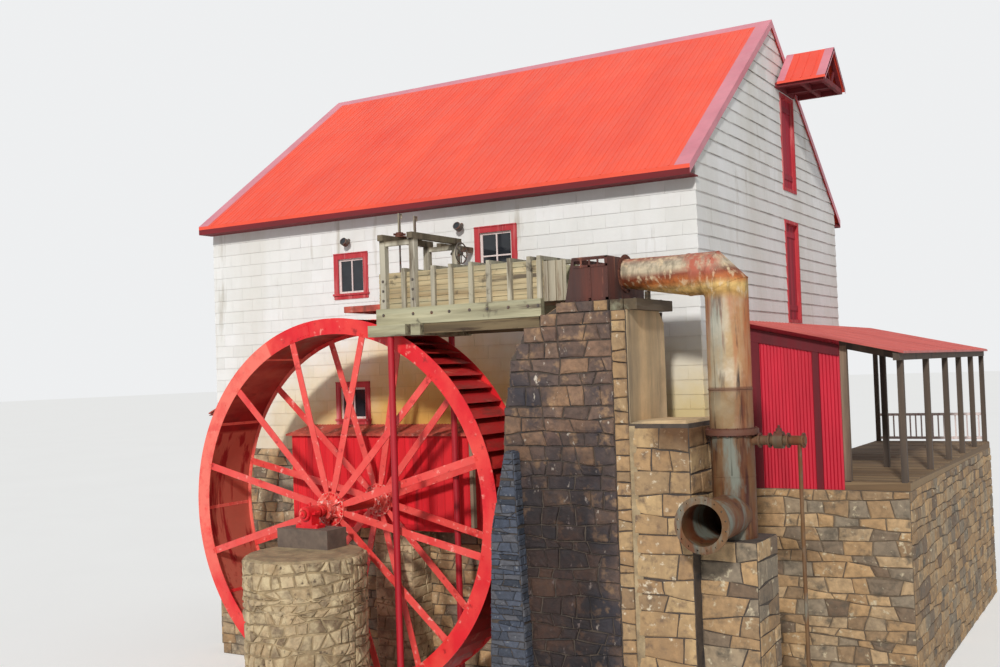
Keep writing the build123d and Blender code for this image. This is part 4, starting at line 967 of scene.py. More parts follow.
def pier_left_at(level):
    """Left side of the pier at that height."""
    for (x0, z0), (x1, z1) in zip(pier_side, pier_side[1:]):
        if z0 <= level < z1:
            return x0 + (x1 - x0) * (level - z0) / (z1 - z0)
    return pier_side[-1][0]


pier = Shape()
for number, (low, high) in enumerate(zip(pier_levels, pier_levels[1:])):
    left = pier_left_at((low + high) / 2)
    end = pier_shelf_left if low >= pier_shelf else pier_right
    sizes = (low, high, course, pier_stone_length)
    masonry(pier, *face("front", pier_front, left, end - quoin), *sizes, 0.04, 41 + number)
    masonry(pier, *face("back", pier_back, left, end), *sizes, 0.035, 61 + number)
for number, ((x0, z0), (x1, z1)) in enumerate(zip(pier_side, pier_side[1:])):
    step = Vector((x1 - x0, 0, z1 - z0))
    if step.length > 0.08:
        skin = flat((x0, 0, z0), -Y, step)
        masonry(pier, skin, -pier_back, -pier_front, 0, step.length, course, pier_stone_length, 0.03,
                81 + number)
place(pier, "pier_stonework", pier_stone, "rubble_stone")

corner = Shape()
quoin_course, quoin_stone, lower_course, lower_stone, lower_rim = 0.24, 0.5, 0.33, 0.56, 0.06
quoin_lengths = (
    (pier_right, lower_top, pier_shelf, 0.045),
    (pier_shelf_left, pier_shelf, pier_top, 0.045),
    (pier_right, 0, lower_top, 0.035),
)
for number, (end, low, high, proud) in enumerate(quoin_lengths):
    masonry(corner, *face("front", pier_front, end - quoin, end), low, high, quoin_course, quoin_stone,
            proud, 101 + number)
lower_faces = (
    (("front", pier_front, pier_right, lower_right), 0),
    (("right", lower_right, pier_front, lower_back), footing_top),
    (("back", lower_back, pier_right, lower_right), 0),
)
for number, (line, low) in enumerate(lower_faces):
    masonry(corner, *face(*line), low, lower_top - lower_rim, lower_course, lower_stone, 0.025,
            104 + number, rough=0.2)
place(corner, "pier_quoins", tan_stone, "rubble_stone")

render = Shape()
coat_skin = flat(X * pier_right, Y, Z)
rng = random.Random(107)
level, coat_height, coat_depth, edge, chamfer = lower_top, 0.31, 0.012, 0.02, 0.2
while level < pier_shelf - 0.01:
    head = min(level + coat_height, pier_shelf)
    near = pier_front + edge
    outline = [(near, level), (pier_back, level), (pier_back, head), (near, head)]
    outline = clipped(outline, ((1, 1, pier_back - chamfer + pier_shelf),))
    if outline:
        render.slab(outline, coat_skin, coat_depth + rng.uniform(0, 0.004))
    level = head
flag_depth, flag_length = 0.9, 0.7
masonry(render, flat(Z * lower_top, X, Y), pier_right + edge, lower_right - edge, pier_front + edge,
        lower_back - edge, flag_depth, flag_length, 0.05, 108)
place(render, "pier_render", concrete, "rubble_stone")

smear = Shape()
rng = random.Random(109)
rise_by, smear_foot, smear_height = 0.18, 0.25, lower_top - 0.3
steps = round(smear_height / rise_by)
inner = [(pier_right + 0.005, smear_foot + rise_by * i) for i in range(steps + 1)]
outer = [(pier_right + rng.uniform(0.07, 0.17), smear_foot + rise_by * i) for i in range(steps, -1, -1)]
smear.slab(inner + outer, flat((0, pier_front, 0), X, Z), [0.028] * (steps + 1) + [0.018] * (steps + 1))
place(smear, "pier_mortar_smear", pale_mortar, "rubble_stone")

footing_faces = (
    ("front", footing_front, lower_right, footing_right),
    ("right", footing_right, footing_front, footing_back),
    ("back", footing_back, lower_right, footing_right),
)
stone_faces("footing_stonework", footing_faces, footing_top, footing_courses, 111)

# Dark rubble buttress in front of the pier
buttress_side = ((3.62, 0.0), (3.767, 3.66), (4.081, 5.03), (4.231, 5.03), (4.42, 0.0))
buttress_front, buttress_top, rubble_course = -0.4, 5.03, 0.1
loose = {"rough": 0.45, "joint": 0.004}
rubble = Shape()
limits = []
for (x0, z0), (x1, z1) in zip(buttress_side, buttress_side[1:]):
    a, b = z0 - z1, x1 - x0
    limits.append((a, b, a * x0 + b * z0))
masonry(rubble, *face("front", buttress_front, 3.6, 4.44), 0, buttress_top, rubble_course, 0.26, 0.03,
        121, limits, **loose)
for number, ((x0, z0), (x1, z1)) in enumerate(zip(buttress_side[:3], buttress_side[1:4])):
    step = Vector((x1 - x0, 0, z1 - z0))
    skin = flat((x0, 0, z0), -Y, step)
    masonry(rubble, skin, -pier_front, -buttress_front, 0, step.length, rubble_course, 0.24, 0.03,
            122 + number, **loose)
(x0, z0), (x1, z1) = buttress_side[3:]
slope = Vector((x0 - x1, 0, z0 - z1))
skin = flat((x1, 0, z1), Y, slope)
masonry(rubble, skin, buttress_front, pier_front, 0, slope.length, rubble_course, 0.24, 0.02, 126, **loose)
place(rubble, "buttress_stonework", dark_stone, "dark_rubble")

# Piers under the bearings: a mortar core with stones round it
round_x, round_y, core_radius, round_top = 0.34, -1.295, 1.08, 3.28
square_half, square_front, square_top = 0.47, 1.83, 3.58
cap_out, cap_height = 0.03, 0.05
core = Shape()
core_profile = (
    (0, 0.01), (0, core_radius), (round_top - 0.08, core_radius), (round_top - 0.03, core_radius - 0.02),
    (round_top, core_radius - 0.06), (round_top, 0.01),
)
core.lathe((round_x, round_y, 0), Z, core_profile, 64)
core.box(-square_half, square_half, square_front, wall_front, 0.0, square_top)
cap_half = square_half + cap_out
core.box(-cap_half, cap_half, square_front - cap_out, wall_front, square_top, square_top + cap_height)
place(core, "bearing_pier_cores", pale_mortar, "rubble_stone", hides=("bearing_piers",))
around = Shape()
skin_radius = core_radius - 0.005


def round_skin(u, v, depth):
    """Places on the round pier: u runs round it, v up."""
    radius, angle = skin_radius + depth, u / skin_radius
    return Vector((round_x + radius * math.cos(angle), round_y + radius * math.sin(angle), v))


masonry(around, round_skin, 0, 2 * math.pi * skin_radius, 0, round_top - 0.02, 0.15, 0.22, 0.04, 131,
        rough=0.8, joint=0.014)
square_faces = (
    ("front", square_front, -square_half, square_half),
    ("left", -square_half, square_front, wall_front),
    ("right", square_half, square_front, wall_front),
)
for number, line in enumerate(square_faces):
    masonry(around, *face(*line), 0, square_top, 0.2, 0.32, 0.024, 132 + number)
place(around, "bearing_pier_stones", pale_rubble, "rubble_stone")

# Lean-to behind the wheel and the one on the left: upright boards, wavy roof sheets, corner post
rng = random.Random(7)
lean_left, lean_right, lean_front = -2.58, 1.95, 1.75
lean_back_top, lean_front_top, lean_bottom = 5.33, 5.19, 3.41
lean_slope = (lean_back_top - lean_front_top) / (wall_front - lean_front)
side_low, side_high = 5.6, 6.0
side_slope = (side_high - side_low) / (wall_left - side_left)
under_roof = lean_front_top - lean_slope * lean_front - lap
under_side_roof = side_low - 0.01 - side_slope * side_left
lean_back, lean_high = wall_front - 0.02, 5.4
board_pitch, board_gap, board_proud, front_board_proud = 0.19, 0.008, 0.014, 0.016
lean = Shape()
front_boards = face("front", lean_front, lean_left, lean_right)
boards(lean, *front_boards, lean_bottom - 0.04, lean_front_top - lap, board_pitch, board_gap,
       front_board_proud, rng)
for line, low, high, limits in (
    (("right", lean_right, lean_front, lean_back), lean_bottom, lean_high, ((-lean_slope, 1, under_roof),)),
    (("left", lean_left, lean_front, lean_back), lean_bottom, lean_high, ((lean_slope, 1, under_roof),)),
    (side_walls[1], side_stone, side_low - 0.02, ()),
    (side_walls[0], side_stone, side_high, ((-side_slope, 1, under_side_roof),)),
    (side_walls[2], side_stone, side_high, ((side_slope, 1, under_side_roof),)),
):
    boards(lean, *face(*line), low, high, board_pitch, board_gap, board_proud, rng, True, limits)
place(lean, "lean_to_boards", board_red, "faded_red_wood")

sheets = Shape()
fall = Vector((0, -1, -lean_slope)).normalized()
rise = Vector((0, -lean_slope, 1)).normalized()
overhang, wave = 0.1, 0.076
lean_roof_top = Vector((lean_left - overhang, wall_front, lean_back_top + 0.0305))
lean_roof_width = lean_right - lean_left + 2 * overhang
corrugated(sheets, lean_roof_top, X, fall, rise, lean_roof_width, 0.86, wave, 0.016)
fall = Vector((-1, 0, -side_slope)).normalized()
rise = Vector((-side_slope, 0, 1)).normalized()
side_roof_top, side_roof_width, side_roof_length = Vector((wall_left, 3.08, side_high + 0.0345)), 2.64, 1.015
corrugated(sheets, side_roof_top, Y, fall, rise, side_roof_width, side_roof_length, wave, 0.014)
place(sheets, "lean_to_roof_sheets", rusty_sheet, "rusty_sheet")

post = Shape()
lean_post = (1.965, 2.04, 1.76, 1.87, 3.35, 5.16)
post.box(*lean_post)
place(post, "lean_to_corner_post", grey_post, "flume_timber", bevel=0.006)

# Porch: ribbed roof, screen sheet with its frame, deck boards, rafters, cladding of the end post
porch_high, porch_low, porch_edge = 7.27, 6.55, 9.65
porch_slope = (porch_high - porch_low) / (porch_edge - wall_right)
porch_start, porch_end, rib_margin = 4.9, 16.1, 0.03
porch_rib_half, porch_rib_height = 0.024, 0.018
porch_ribs = Shape()
fall = Vector((1, 0, -porch_slope)).normalized()
rise = Vector((porch_slope, 0, 1)).normalized()
length = math.hypot(porch_edge - wall_right, porch_high - porch_low)
y = porch_start + rib_margin
while y < porch_end - rib_margin:
    foot = Vector((wall_right, y, porch_high))
    porch_ribs.rib(foot, Y, porch_rib_half, rise * porch_rib_height, fall * length)
    y += rib_pitch
place(porch_ribs, "porch_roof_ribs", porch_red, "red_roof")

screen = Shape()
screen_front, screen_right, screen_foot, screen_height = 5.205, 8.385, 3.9, 2.92
screen_wave, screen_wave_height = 0.068, 0.018
foot = (wall_right, screen_front, screen_foot)
corrugated(screen, foot, X, Z, -Y, screen_right - wall_right, screen_height, screen_wave, screen_wave_height)
place(screen, "porch_screen_sheet", screen_red, "rusty_sheet")
border = Shape()
# Uprights: left and right side, how far it stands out, head
uprights = ((wall_right, wall_right + 0.2, 0.045, 7.08), (7.86, 7.99, 0.04, 6.8))
for x0, x1, out, head in uprights:
    border.box(x0, x1, screen_front - out, screen_front, screen_foot, head)
head_corners = ((wall_right, 7.13), (screen_right, 6.72), (screen_right, 6.5), (wall_right, 6.86))
border.prism([(x, screen_front, z) for x, z in head_corners], -Y * 0.05)
place(border, "porch_screen_frame", screen_frame_red, "faded_red_wood", bevel=0.004)
post = Shape()
end_post = (8.383, 8.512, 5.236, 5.364, 4.07, 6.7)
post.box(*end_post)
place(post, "porch_end_post", grey_post, "dark_red_wood", bevel=0.006)

deck = Shape()
deck_height, deck_edges, deck_pitch = 4.05, (6.61, 9.59, 5.245, 15.995), 0.14
boards(deck, flat(Z * deck_height, X, Y), *deck_edges, deck_pitch, board_gap, 0.02, rng, False)
place(deck, "porch_deck_boards", planks, "plank_floor")
rafters = Shape()
rafter_top, rafter_end, rafter_width, rafter_depth, rafter_pitch = 7.15, 9.5, 0.05, 0.11, 0.61
y, last_rafter = 5.5, 15.8
while y < last_rafter:
    start = Vector((wall_right + 0.01, y, rafter_top))
    end = Vector((rafter_end, y, rafter_top - porch_slope * (rafter_end - wall_right)))
    rafters.bar(start, end, rafter_width, rafter_depth, Y)
    y += rafter_pitch
place(rafters, "porch_rafters", dark_timber, "dark_red_wood")

# Loading doors: upright boards, battens and jambs
doors = Shape()
jambs = Shape()
door_low, door_high = door_middle - door_width / 2, door_middle + door_width / 2
leaf_half, batten_half, batten_height = 0.43, 0.41, 0.12
for sill, head in door_heights:
    skin = flat(X * door_face, Y, Z)
    boards(doors, skin, door_middle - leaf_half, door_middle + leaf_half, sill + 0.01, head - 0.01,
           0.145, 0.006, 0.014, rng)
    for level in (sill + 0.22, head - 0.3):
        doors.box(door_face + 0.013, door_face + 0.028, door_middle - batten_half,
                  door_middle + batten_half, level, level + batten_height)
    for y0, y1, z0, z1 in (
        (door_low, door_low + 0.01, sill, head), (door_high - 0.01, door_high, sill, head),
        (door_low, door_high, head - 0.01, head), (door_low, door_high, sill, sill + 0.01),
    ):
        jambs.box(door_face + 0.001, wall_right + 0.002, y0, y1, z0, z1)
place(doors, "door_boards", door_red, "dark_red_wood", bevel=0.002)
place(jambs, "door_jambs", faded_red_wood, "faded_red_wood")

# Hoist hood: ribs, pink edge flashing and the boards below
hood_ridge, hood_eave, hood_half, hood_start, hood_end = 13.44, 12.65, 0.88, 6.676, 7.75
hood_slope = (hood_ridge - hood_eave) / hood_half
hood_rib_half, hood_rib_crest, ridge_gap, sheet, lip_width = 0.022, 0.01, 0.05, 0.004, 0.1
hood_rib_places, hood_rib_height = (6.99, 7.21, 7.43), 0.018
hood_ribs = Shape()
hood_flashing = Shape()
length = math.hypot(hood_half, hood_ridge - hood_eave)
top = Vector((0, door_middle, hood_ridge))
for sign in (-1, 1):
    down = Vector((0, sign, -hood_slope)).normalized()
    out = Vector((0, sign * hood_slope, 1)).normalized()
    for x in hood_rib_places:
        hood_ribs.rib(top + X * x + down * ridge_gap, X, hood_rib_half, out * hood_rib_height,
                      down * (length - ridge_gap), hood_rib_crest / hood_rib_half)
    for x0, x1 in ((hood_start, hood_start + 0.17), (hood_end - 0.2, hood_end)):
        base = top + X * x0
        wide = X * (x1 - x0)
        hood_flashing.prism([base, base + wide, base + wide + out * sheet, base + out * sheet], down * length)
    lip = top + X * (hood_end - sheet)
    edge = lip + X * sheet
    hood_flashing.prism([lip, edge, edge - Z * lip_width, lip - Z * lip_width], down * length)
place(hood_ribs, "hood_ribs", roof_red, "red_roof")
soffit = Shape()
rng = random.Random(141)
soffit_edges, soffit_pitch = (6.62, 7.68, 7.69, 9.27), 0.12
boards(soffit, flat(Z * hood_eave, X, Y), *soffit_edges, soffit_pitch, 0.006, 0.012, rng)
place(soffit, "hood_soffit_boards", dark_red_wood, "dark_red_wood")
place(hood_flashing, "hood_flashing", flashing, "pink_flashing")

# Window sills and drip boards
sills = Shape()
for middle, sill, width, height in window_holes:
    half = width / 2 + casing_width
    head = sill + height + casing_width
    for sign, plane in ((-1, wall_front), (1, wall_back)):
        for spread, reach, low, high in (
            (0.02, 0.06, sill - 0.045, sill), (0.0, 0.045, head - 0.02, head + 0.004),
        ):
            near, far = sorted((plane, plane + sign * reach))
            sills.box(middle - half - spread, middle + half + spread, near, far, low, high)
place(sills, "window_sills", faded_red_wood, "faded_red_wood", bevel=0.003)

# Flume: weathered side boards and the timbers' bolts
flume_left, flume_right = 1.25, 4.75
flume_front, flume_back, flume_base, flume_top = -0.03, 1.28, 7.65, 8.32
board_rows, board_steps, board_lengths, shortest_board = 7, 6, (0.65, 1.1, 1.75, 2.2), 0.4
tall = (flume_top - flume_base) / board_rows
lining = Shape()
for way, plane in (("front", flume_front), ("back", flume_back)):
    skin, low, high = face(way, plane, flume_left, flume_right)
    for row in range(board_rows):
        bottom, middle, top = (flume_base + (row + share) * tall for share in (0, 0.5, 1))
        u = low
        while u < high - 0.05:
            end = min(high, u + rng.choice(board_lengths))
            if high - end < shortest_board:
                end = high
            marks = [u + (end - u) * step / board_steps for step in range(board_steps + 1)]
            foot = [(mark, bottom + rng.uniform(0.002, 0.007)) for mark in marks]
            head = [(mark, top - rng.uniform(0.002, 0.009)) for mark in reversed(marks)]
            depth = rng.uniform(0.008, 0.02)
            outline = foot + head
            lining.slab(outline, skin, [depth * (1.0 if v < middle else 0.6) for _, v in outline])
            u = end + 0.003
place(lining, "flume_side_boards", flume_boards, "flume_timber")

ironwork = Shape()
post_places, stile_places = (1.42, 2.09), (2.5, 2.88, 3.31, 3.68, 4.11, 4.5, 4.7)
sill_faces, post_faces = ((-0.16, -Y), (1.41, Y)), ((-0.15, -Y), (1.4, Y))
sill_bolt_height, post_bolt_heights = 7.53, (7.8, 7.98, 8.16)
cap_bolts = [(x, y, pier_top) for x in (6.13, 6.38) for y in (0.1, 1.2)]
for x in post_places + stile_places:
    for y, way in sill_faces:
        ironwork.bolt((x, y, sill_bolt_height), way, 0.02)
for x in post_places:
    for z in post_bolt_heights:
        for y, way in post_faces:
            ironwork.bolt((x, y, z), way)
for spot in cap_bolts:
    ironwork.bolt(spot, Z, 0.02)
place(ironwork, "timber_bolts", machine_grey, "grey_steel")


# Wheel: bolts and splice plates on the rings, straps inside the sole, hub bolts, shaft collars
def on_wheel(radius, degrees, y):
    """A place that far from the axle, at that angle from X."""
    angle = math.radians(degrees)
    return Vector((radius * math.cos(angle), y, axle_height + radius * math.sin(angle)))


def patch(u0, u1, v0, v1):
    """The outline of a rectangle on a surface."""
    return [(u0, v0), (u1, v0), (u1, v1), (u0, v1)]


wheel_iron = Shape()
spoke_angles = [spoke_first_angle + 360 / spoke_count * i for i in range(spoke_count)]
spoke_end_bolts = ((3.372, -0.5), (3.372, 0.5), (3.402, -0.5), (3.402, 0.5), (3.387, 0.0))
ring_bolt_circle, ring_bolt_turn = 3.462, 7.5
plate_thickness, plate_half, plate_span = 0.007, 2.3, (3.36, 3.645)
plate_bolts = [(radius, turn) for turn in (-1.7, -0.6, 0.6, 1.7) for radius in (3.4, 3.6)]
strap_thickness, strap_half, strap_span = 0.004, 0.55, (0.03, 1.22)
first_rivet, rivet_step, strap_rivets = 0.09, 0.134, 9
hub_bolt_circle, hub_front, hub_back = 0.285, 0.153, 0.083
for side, plane in ((-Y, 0.0), (Y, wheel_width)):
    for number, angle in enumerate(spoke_angles):
        for radius, turn in spoke_end_bolts:
            wheel_iron.bolt(on_wheel(radius, angle + turn, plane), side, 0.011)
        for step in range(3):
            spot = on_wheel(ring_bolt_circle, angle + ring_bolt_turn * (step + 1), plane)
            wheel_iron.bolt(spot, side, 0.009)
        if number % 3 == 0:
            middle = angle - 6
            wheel_iron.slab(patch(middle - plate_half, middle + plate_half, *plate_span),
                            lambda u, v, d: on_wheel(v, u, plane) + side * d, plate_thickness)
            for radius, turn in plate_bolts:
                spot = on_wheel(radius, middle + turn, plane) + side * plate_thickness
                wheel_iron.bolt(spot, side, 0.011)
    for angle in spoke_angles:
        for turn in (-6, 6):
            for out, way, size in ((hub_front, side, 0.017), (hub_back, -side, 0.015)):
                wheel_iron.bolt(on_wheel(hub_bolt_circle, angle + turn, plane + side.y * out), way, size)
for angle in spoke_angles:
    seam = angle + 15
    wheel_iron.slab(patch(seam - strap_half, seam + strap_half, *strap_span),
                    lambda u, v, d: on_wheel(sole_inner - d, u, v), strap_thickness)
    for step in range(strap_rivets):
        for turn in (-0.35, 0.35):
            spot = on_wheel(sole_inner - strap_thickness, seam + turn, first_rivet + step * rivet_step)
            wheel_iron.rivet(spot, on_wheel(0, 0, spot.y) - spot, 0.006)
shaft_skin, collar_edge = 0.076, 0.008
for start, end, radius in ((-0.5, -0.44, 0.115), (-0.42, -0.385, 0.1), (1.7, 1.76, 0.115)):
    wide, shoulder = end - start, radius - collar_edge
    collar = ((0, shaft_skin), (0, shoulder), (collar_edge, radius), (wide - collar_edge, radius),
              (wide, shoulder), (wide, shaft_skin))
    wheel_iron.lathe((0, start, axle_height), Y, collar)
wheel_iron.disc((0, -0.95, axle_height), -Y, 0.055, 0.012, 24)
wheel_iron.bolt((0, -0.962, axle_height), -Y, 0.02)
place(wheel_iron, "wheel_ironwork", wheel_paint, "wheel_red", "water_wheel")

# Spokes: flat bars that widen past the hub and bend beside it, as radius, half width and front face
spoke_bends = (
    (0.2, 0.05, -0.128), (0.34, 0.05, -0.128), (0.52, 0.07, -0.12), (3.34, 0.07, 0.012),
    (3.415, 0.07, 0.012),
)
spoke_thickness = 0.02
spokes = Shape()
for angle in spoke_angles:
    across = (on_wheel(1, angle, 0) - on_wheel(0, angle, 0)).cross(Y)
    for mirror in (False, True):
        rings = []
        for radius, half, front in spoke_bends:
            back = front + spoke_thickness
            ring = []
            for y, side in ((front, -half), (front, half), (back, half), (back, -half)):
                ring.append(on_wheel(radius, angle, wheel_width - y if mirror else y) + across * side)
            rings.append(ring)
        spokes.rings(rings)
place(spokes, "spoke_bars", spoke_paint, "wheel_red", "water_wheel", ("wheel_spokes",), bevel=0.002)

bearings = Shape()
foot_bolts_out, foot_bolt_height, cap_joint, cup_foot = 0.215, 3.69, 3.918, 4.02
cup = ((0, 0.005), (0, 0.02), (0.03, 0.02), (0.035, 0.032), (0.07, 0.032), (0.075, 0.005))
seal = ((0, 0.082), (0, 0.116), (0.012, 0.12), (0.012, 0.082))
for start in (-0.9, 1.9):
    for x in (-foot_bolts_out, foot_bolts_out):
        for y in (start + 0.1, start + 0.24):
            bearings.bolt((x, y, foot_bolt_height), Z, 0.02)
    for sign in (-1, 1):
        inner, outer = sorted((sign * 0.121, sign * 0.19))
        bearings.box(inner, outer, start + 0.08, start + 0.26, cap_joint - 0.036, cap_joint)
        for y in (start + 0.12, start + 0.22):
            bearings.bolt((sign * 0.158, y, cap_joint), Z, 0.016)
    bearings.lathe((0, start + 0.17, cup_foot), Z, cup, 16)
    bearings.lathe((0, start - 0.012, axle_height), Y, seal)
place(bearings, "bearing_bolts", wheel_paint, "wheel_red")

# Sluice gate: bearing plates over the beam, flat lifting bars on the stems
stem_x, stem_places, beam_top, stem_top = 1.42, (0.42, 0.93), 9.03, 9.5
plate = ((0, 0.03), (0, 0.15), (0.016, 0.15), (0.02, 0.09), (0.05, 0.075), (0.1, 0.07), (0.1, 0.03))
arm_height, arm_start, foot_bolt_circle, foot_bolt_turn = 0.065, 0.066, 0.122, Matrix.Rotation(0.78, 3, "Z")
gear = Shape()
bars = Shape()
for y in stem_places:
    foot = Vector((stem_x, y, beam_top))
    gear.lathe(foot, Z, plate, 20)
    for i in range(4):
        way = level_way(45 + 90 * i)
        gear.disc(foot + Z * arm_height + way * arm_start, way, 0.022, 0.05, 10)
        gear.bolt(foot + Z * 0.016 + foot_bolt_turn @ way * foot_bolt_circle, Z, 0.012)
    for half, y0, y1, z0, z1 in (
        (0.012, -0.034, 0.034, beam_top + 0.105, stem_top),
        (0.013, 0.03, 0.085, stem_top - 0.04, stem_top),
        (0.013, 0.06, 0.085, stem_top - 0.1, stem_top - 0.035),
    ):
        bars.box(stem_x - half, stem_x + half, y + y0, y + y1, z0, z1)
place(gear, "gate_bearing_plates", flange_rust, "grey_steel")
place(bars, "gate_lifting_bars", pale_metal, "grey_steel", "gate", bevel=0.003)

hand_iron = Shape()
hand_place = Vector((2.21, 1.34, 8.74))
hand_iron.disc(hand_place + X * 0.02, X, 0.024, 0.02)
hand_iron.lathe(hand_place - X * 0.012, X, ((0, 0.036), (0, 0.05), (0.024, 0.05), (0.024, 0.036)), 24)
place(hand_iron, "hand_wheel_nut", machine_grey, "grey_steel", "gate_hand_wheel")

# Supply pipe: weld beads, flange bolts, collar at the box
pipe_y, pipe_axis, pipe_radius, riser_x, elbow = 0.625, 7.92, 0.35, 7.77, 0.245
flange_height, flange_half, flange_bolts = 5.33, 0.045, 0.39
branch_height, branch_flanges, branch_bolts = 5.19, (8.23, 8.39, 8.69, 8.93), 0.1
welds = Shape()


def bead(centre, across, size, sides=56):
    """A weld line round the pipe, in the plane of Y and the vector across."""
    centre, one, two = Vector(centre), Y * pipe_radius, across * pipe_radius
    onward = one.cross(two).normalized()
    rings = []
    for shift, grow in ((-size * 1.6, -0.003), (0, size), (size * 1.6, -0.003)):
        ring = []
        for i in range(sides):
            angle = 2 * math.pi * i / sides
            around = one * math.cos(angle) + two * math.sin(angle)
            ring.append(centre + around * (1 + grow / around.length) + onward * shift)
        rings.append(ring)
    welds.rings(rings, True)


tilt = math.tan(math.radians(22.5))
bead((riser_x - elbow, pipe_y, pipe_axis), Vector((tilt, 0, 1)), 0.007)
bead((riser_x, pipe_y, pipe_axis - elbow), Vector((1, 0, tilt)), 0.007)
bead((riser_x, pipe_y, 6.02), X, 0.012)
bead((riser_x, pipe_y, 4.62), X, 0.007)
# Upright seams: angle round the pipe, low and high end
pipe_seams = ((-118, 5.4, 6.0), (-112, 6.04, 7.62), (-75, 4.65, 5.27))
for angle, low, high in pipe_seams:
    way = level_way(angle)
    foot = Vector((riser_x, pipe_y, low)) + way * pipe_radius
    welds.bar(foot, foot + Z * (high - low), 0.018, 0.012, way.cross(Z))
place(welds, "pipe_welds", pipe_patina, "old_pipe", smooth=True)

bolts = Shape()
for i in range(16):
    spot = Vector((riser_x, pipe_y, flange_height)) + level_way(22.5 * i + 8) * flange_bolts
    for up in (Z, -Z):
        bolts.bolt(spot + up * flange_half, up, 0.02)
for x in branch_flanges:
    for i in range(8):
        around = level_way(45 * i + 22.5).zxy * branch_bolts
        for way in (X, -X):
            bolts.bolt(Vector((x, pipe_y, branch_height)) + way * 0.012 + around, way, 0.009)
valve = (
    (0, 0.01), (0, 0.075), (0.03, 0.075), (0.035, 0.05), (0.08, 0.045), (0.085, 0.02),
    (0.13, 0.02), (0.13, 0.005),
)
bolts.lathe((8.54, pipe_y, branch_height + 0.11), Z, valve, 20)
box_inlet = Vector((6.0, pipe_y, 8.02))
bolts.lathe(box_inlet, X, ((0, 0.256), (0, 0.33), (0.014, 0.33), (0.014, 0.256)), 48)
for i in range(12):
    bolts.bolt(box_inlet + X * 0.014 + level_way(30 * i + 15).zxy * 0.298, X, 0.014)
place(bolts, "pipe_bolts", flange_rust, "old_pipe")

# Steel box: angle irons and rivets
box_front, box_back, box_right, box_bottom, box_top = -0.1, 1.35, 6.0, 7.55, 8.29
iron_thickness, rivet_pitch, high_rivets, low_rivets = 0.012, 0.09, 8.135, 0.025
irons = Shape()
for sign, plane in ((-1, box_front), (1, box_back)):
    face_y = plane + sign * iron_thickness
    for x0, x1, z0, z1 in (
        (box_right - 0.05, box_right, box_bottom, box_top),
        (5.64, 5.69, box_bottom, 8.15),
        (5.36, box_right, 8.115, 8.155),
        (5.345, box_right, box_top - 0.03, box_top),
        (5.2, box_right, box_bottom, box_bottom + 0.05),
    ):
        irons.box(x0, x1, *sorted((plane, face_y)), z0, z1)
    x = 5.42
    while x < box_right - 0.02:
        irons.rivet((x, face_y, high_rivets), Y * sign)
        irons.rivet((x - 0.12, face_y, box_bottom + low_rivets), Y * sign)
        x += rivet_pitch
    z = box_bottom + 0.09
    while z < box_top - 0.05:
        irons.rivet((box_right - 0.025, face_y, z), Y * sign)
        irons.rivet((5.665, face_y, min(z, 8.1)), Y * sign)
        z += rivet_pitch
place(irons, "box_angle_irons", box_rust, "rust_red_steel")

# Floodlights: bezel and lens
lamps = Shape()
lenses = Shape()
lamp_places, lamp_tilt = ((-1.46, 9.35), (1.5, 9.41)), math.radians(70)
lamp_way = Vector((0, -math.sin(lamp_tilt), math.cos(lamp_tilt)))
bezel = ((0, 0.074), (0, 0.084), (0.012, 0.084), (0.016, 0.078), (0.016, 0.07))
foot_plate = ((0, 0.005), (0, 0.05), (0.014, 0.055), (0.014, 0.005))
for x, z in lamp_places:
    lens = Vector((x, wall_front - 0.145, z)) + lamp_way * 0.053
    lamps.lathe(lens, lamp_way, bezel, 28)
    lamps.lathe((x, wall_front - 0.014, z + 0.04), Y, foot_plate, 24)
    lenses.disc(lens, lamp_way, 0.075, 0.006, 28, 0, 0.9)
place(lamps, "lamp_bezels", machine_grey, "grey_steel")
place(lenses, "lamp_lenses", glass, "glass")

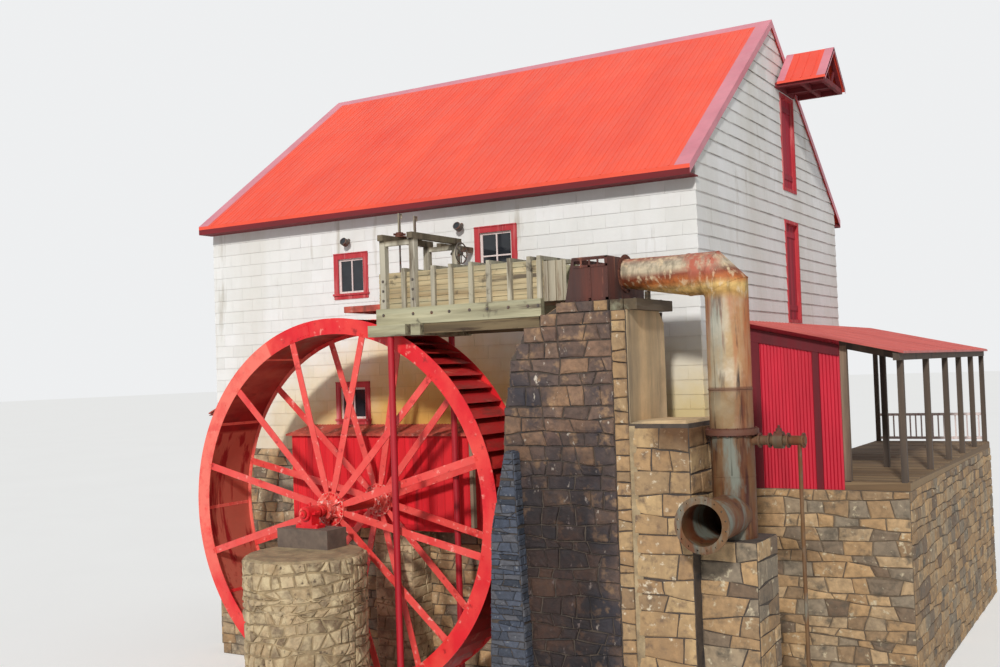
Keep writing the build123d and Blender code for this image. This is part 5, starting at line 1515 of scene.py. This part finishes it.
# Floor, camera, light
floor_corners = [(x * floor_reach, y * floor_reach, 0) for x, y in ((-1, -1), (1, -1), (1, 1), (-1, 1))]
floor_mesh = bpy.data.meshes.new("studio_floor")
floor_mesh.from_pydata(floor_corners, [], [(0, 1, 2, 3)])
floor_mesh.materials.append(floor_pale)
studio_floor = bpy.data.objects.new("studio_floor", floor_mesh)
bpy.context.scene.collection.objects.link(studio_floor)
studio_floor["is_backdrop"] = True

forward = Vector((
    -math.sin(camera_yaw) * math.cos(camera_pitch),
    math.cos(camera_yaw) * math.cos(camera_pitch),
    math.sin(camera_pitch),
))
level_right = Vector((math.cos(camera_yaw), math.sin(camera_yaw), 0))
level_up = level_right.cross(forward)
right = level_right * math.cos(camera_roll) + level_up * math.sin(camera_roll)
up = level_up * math.cos(camera_roll) - level_right * math.sin(camera_roll)
camera_data = bpy.data.cameras.new("camera")
camera_data.lens = camera_lens
camera_data.sensor_fit = "HORIZONTAL"
camera_data.sensor_width = 36.0
camera_data.clip_end = 1500.0
camera = bpy.data.objects.new("camera", camera_data)
camera.matrix_world = Matrix.Translation(camera_place) @ Matrix((right, up, -forward)).transposed().to_4x4()
bpy.context.scene.collection.objects.link(camera)
bpy.context.scene.camera = camera

sun_data = bpy.data.lights.new("sun", "SUN")
sun_data.energy = sun_strength
sun_data.angle = math.radians(5)
sun_data.color = (1.0, 0.98, 0.95)
sun = bpy.data.objects.new("sun", sun_data)
sun.rotation_euler = Vector(sun_direction).to_track_quat("-Z", "Y").to_euler()
bpy.context.scene.collection.objects.link(sun)

world = bpy.data.worlds.new("studio")
world.use_nodes = True
bpy.context.scene.world = world
sky = world.node_tree
light = sky.nodes["Background"]
backdrop = sky.nodes.new("ShaderNodeBackground")
for background, colour, strength in (
    (light, (0.93, 0.96, 1.0, 1.0), sky_strength), (backdrop, (0.92, 0.93, 0.94, 1.0), 0.93),
):
    background.inputs["Color"].default_value = colour
    background.inputs["Strength"].default_value = strength
choice = sky.nodes.new("ShaderNodeMixShader")
sky_outlets = (seen_directly(sky), light.outputs[0], backdrop.outputs[0])
for number, outlet in enumerate(sky_outlets):
    sky.links.new(outlet, choice.inputs[number])
sky.links.new(choice.outputs[0], sky.nodes["World Output"].inputs["Surface"])

bpy.context.scene.view_settings.view_transform = "Standard"

low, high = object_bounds()
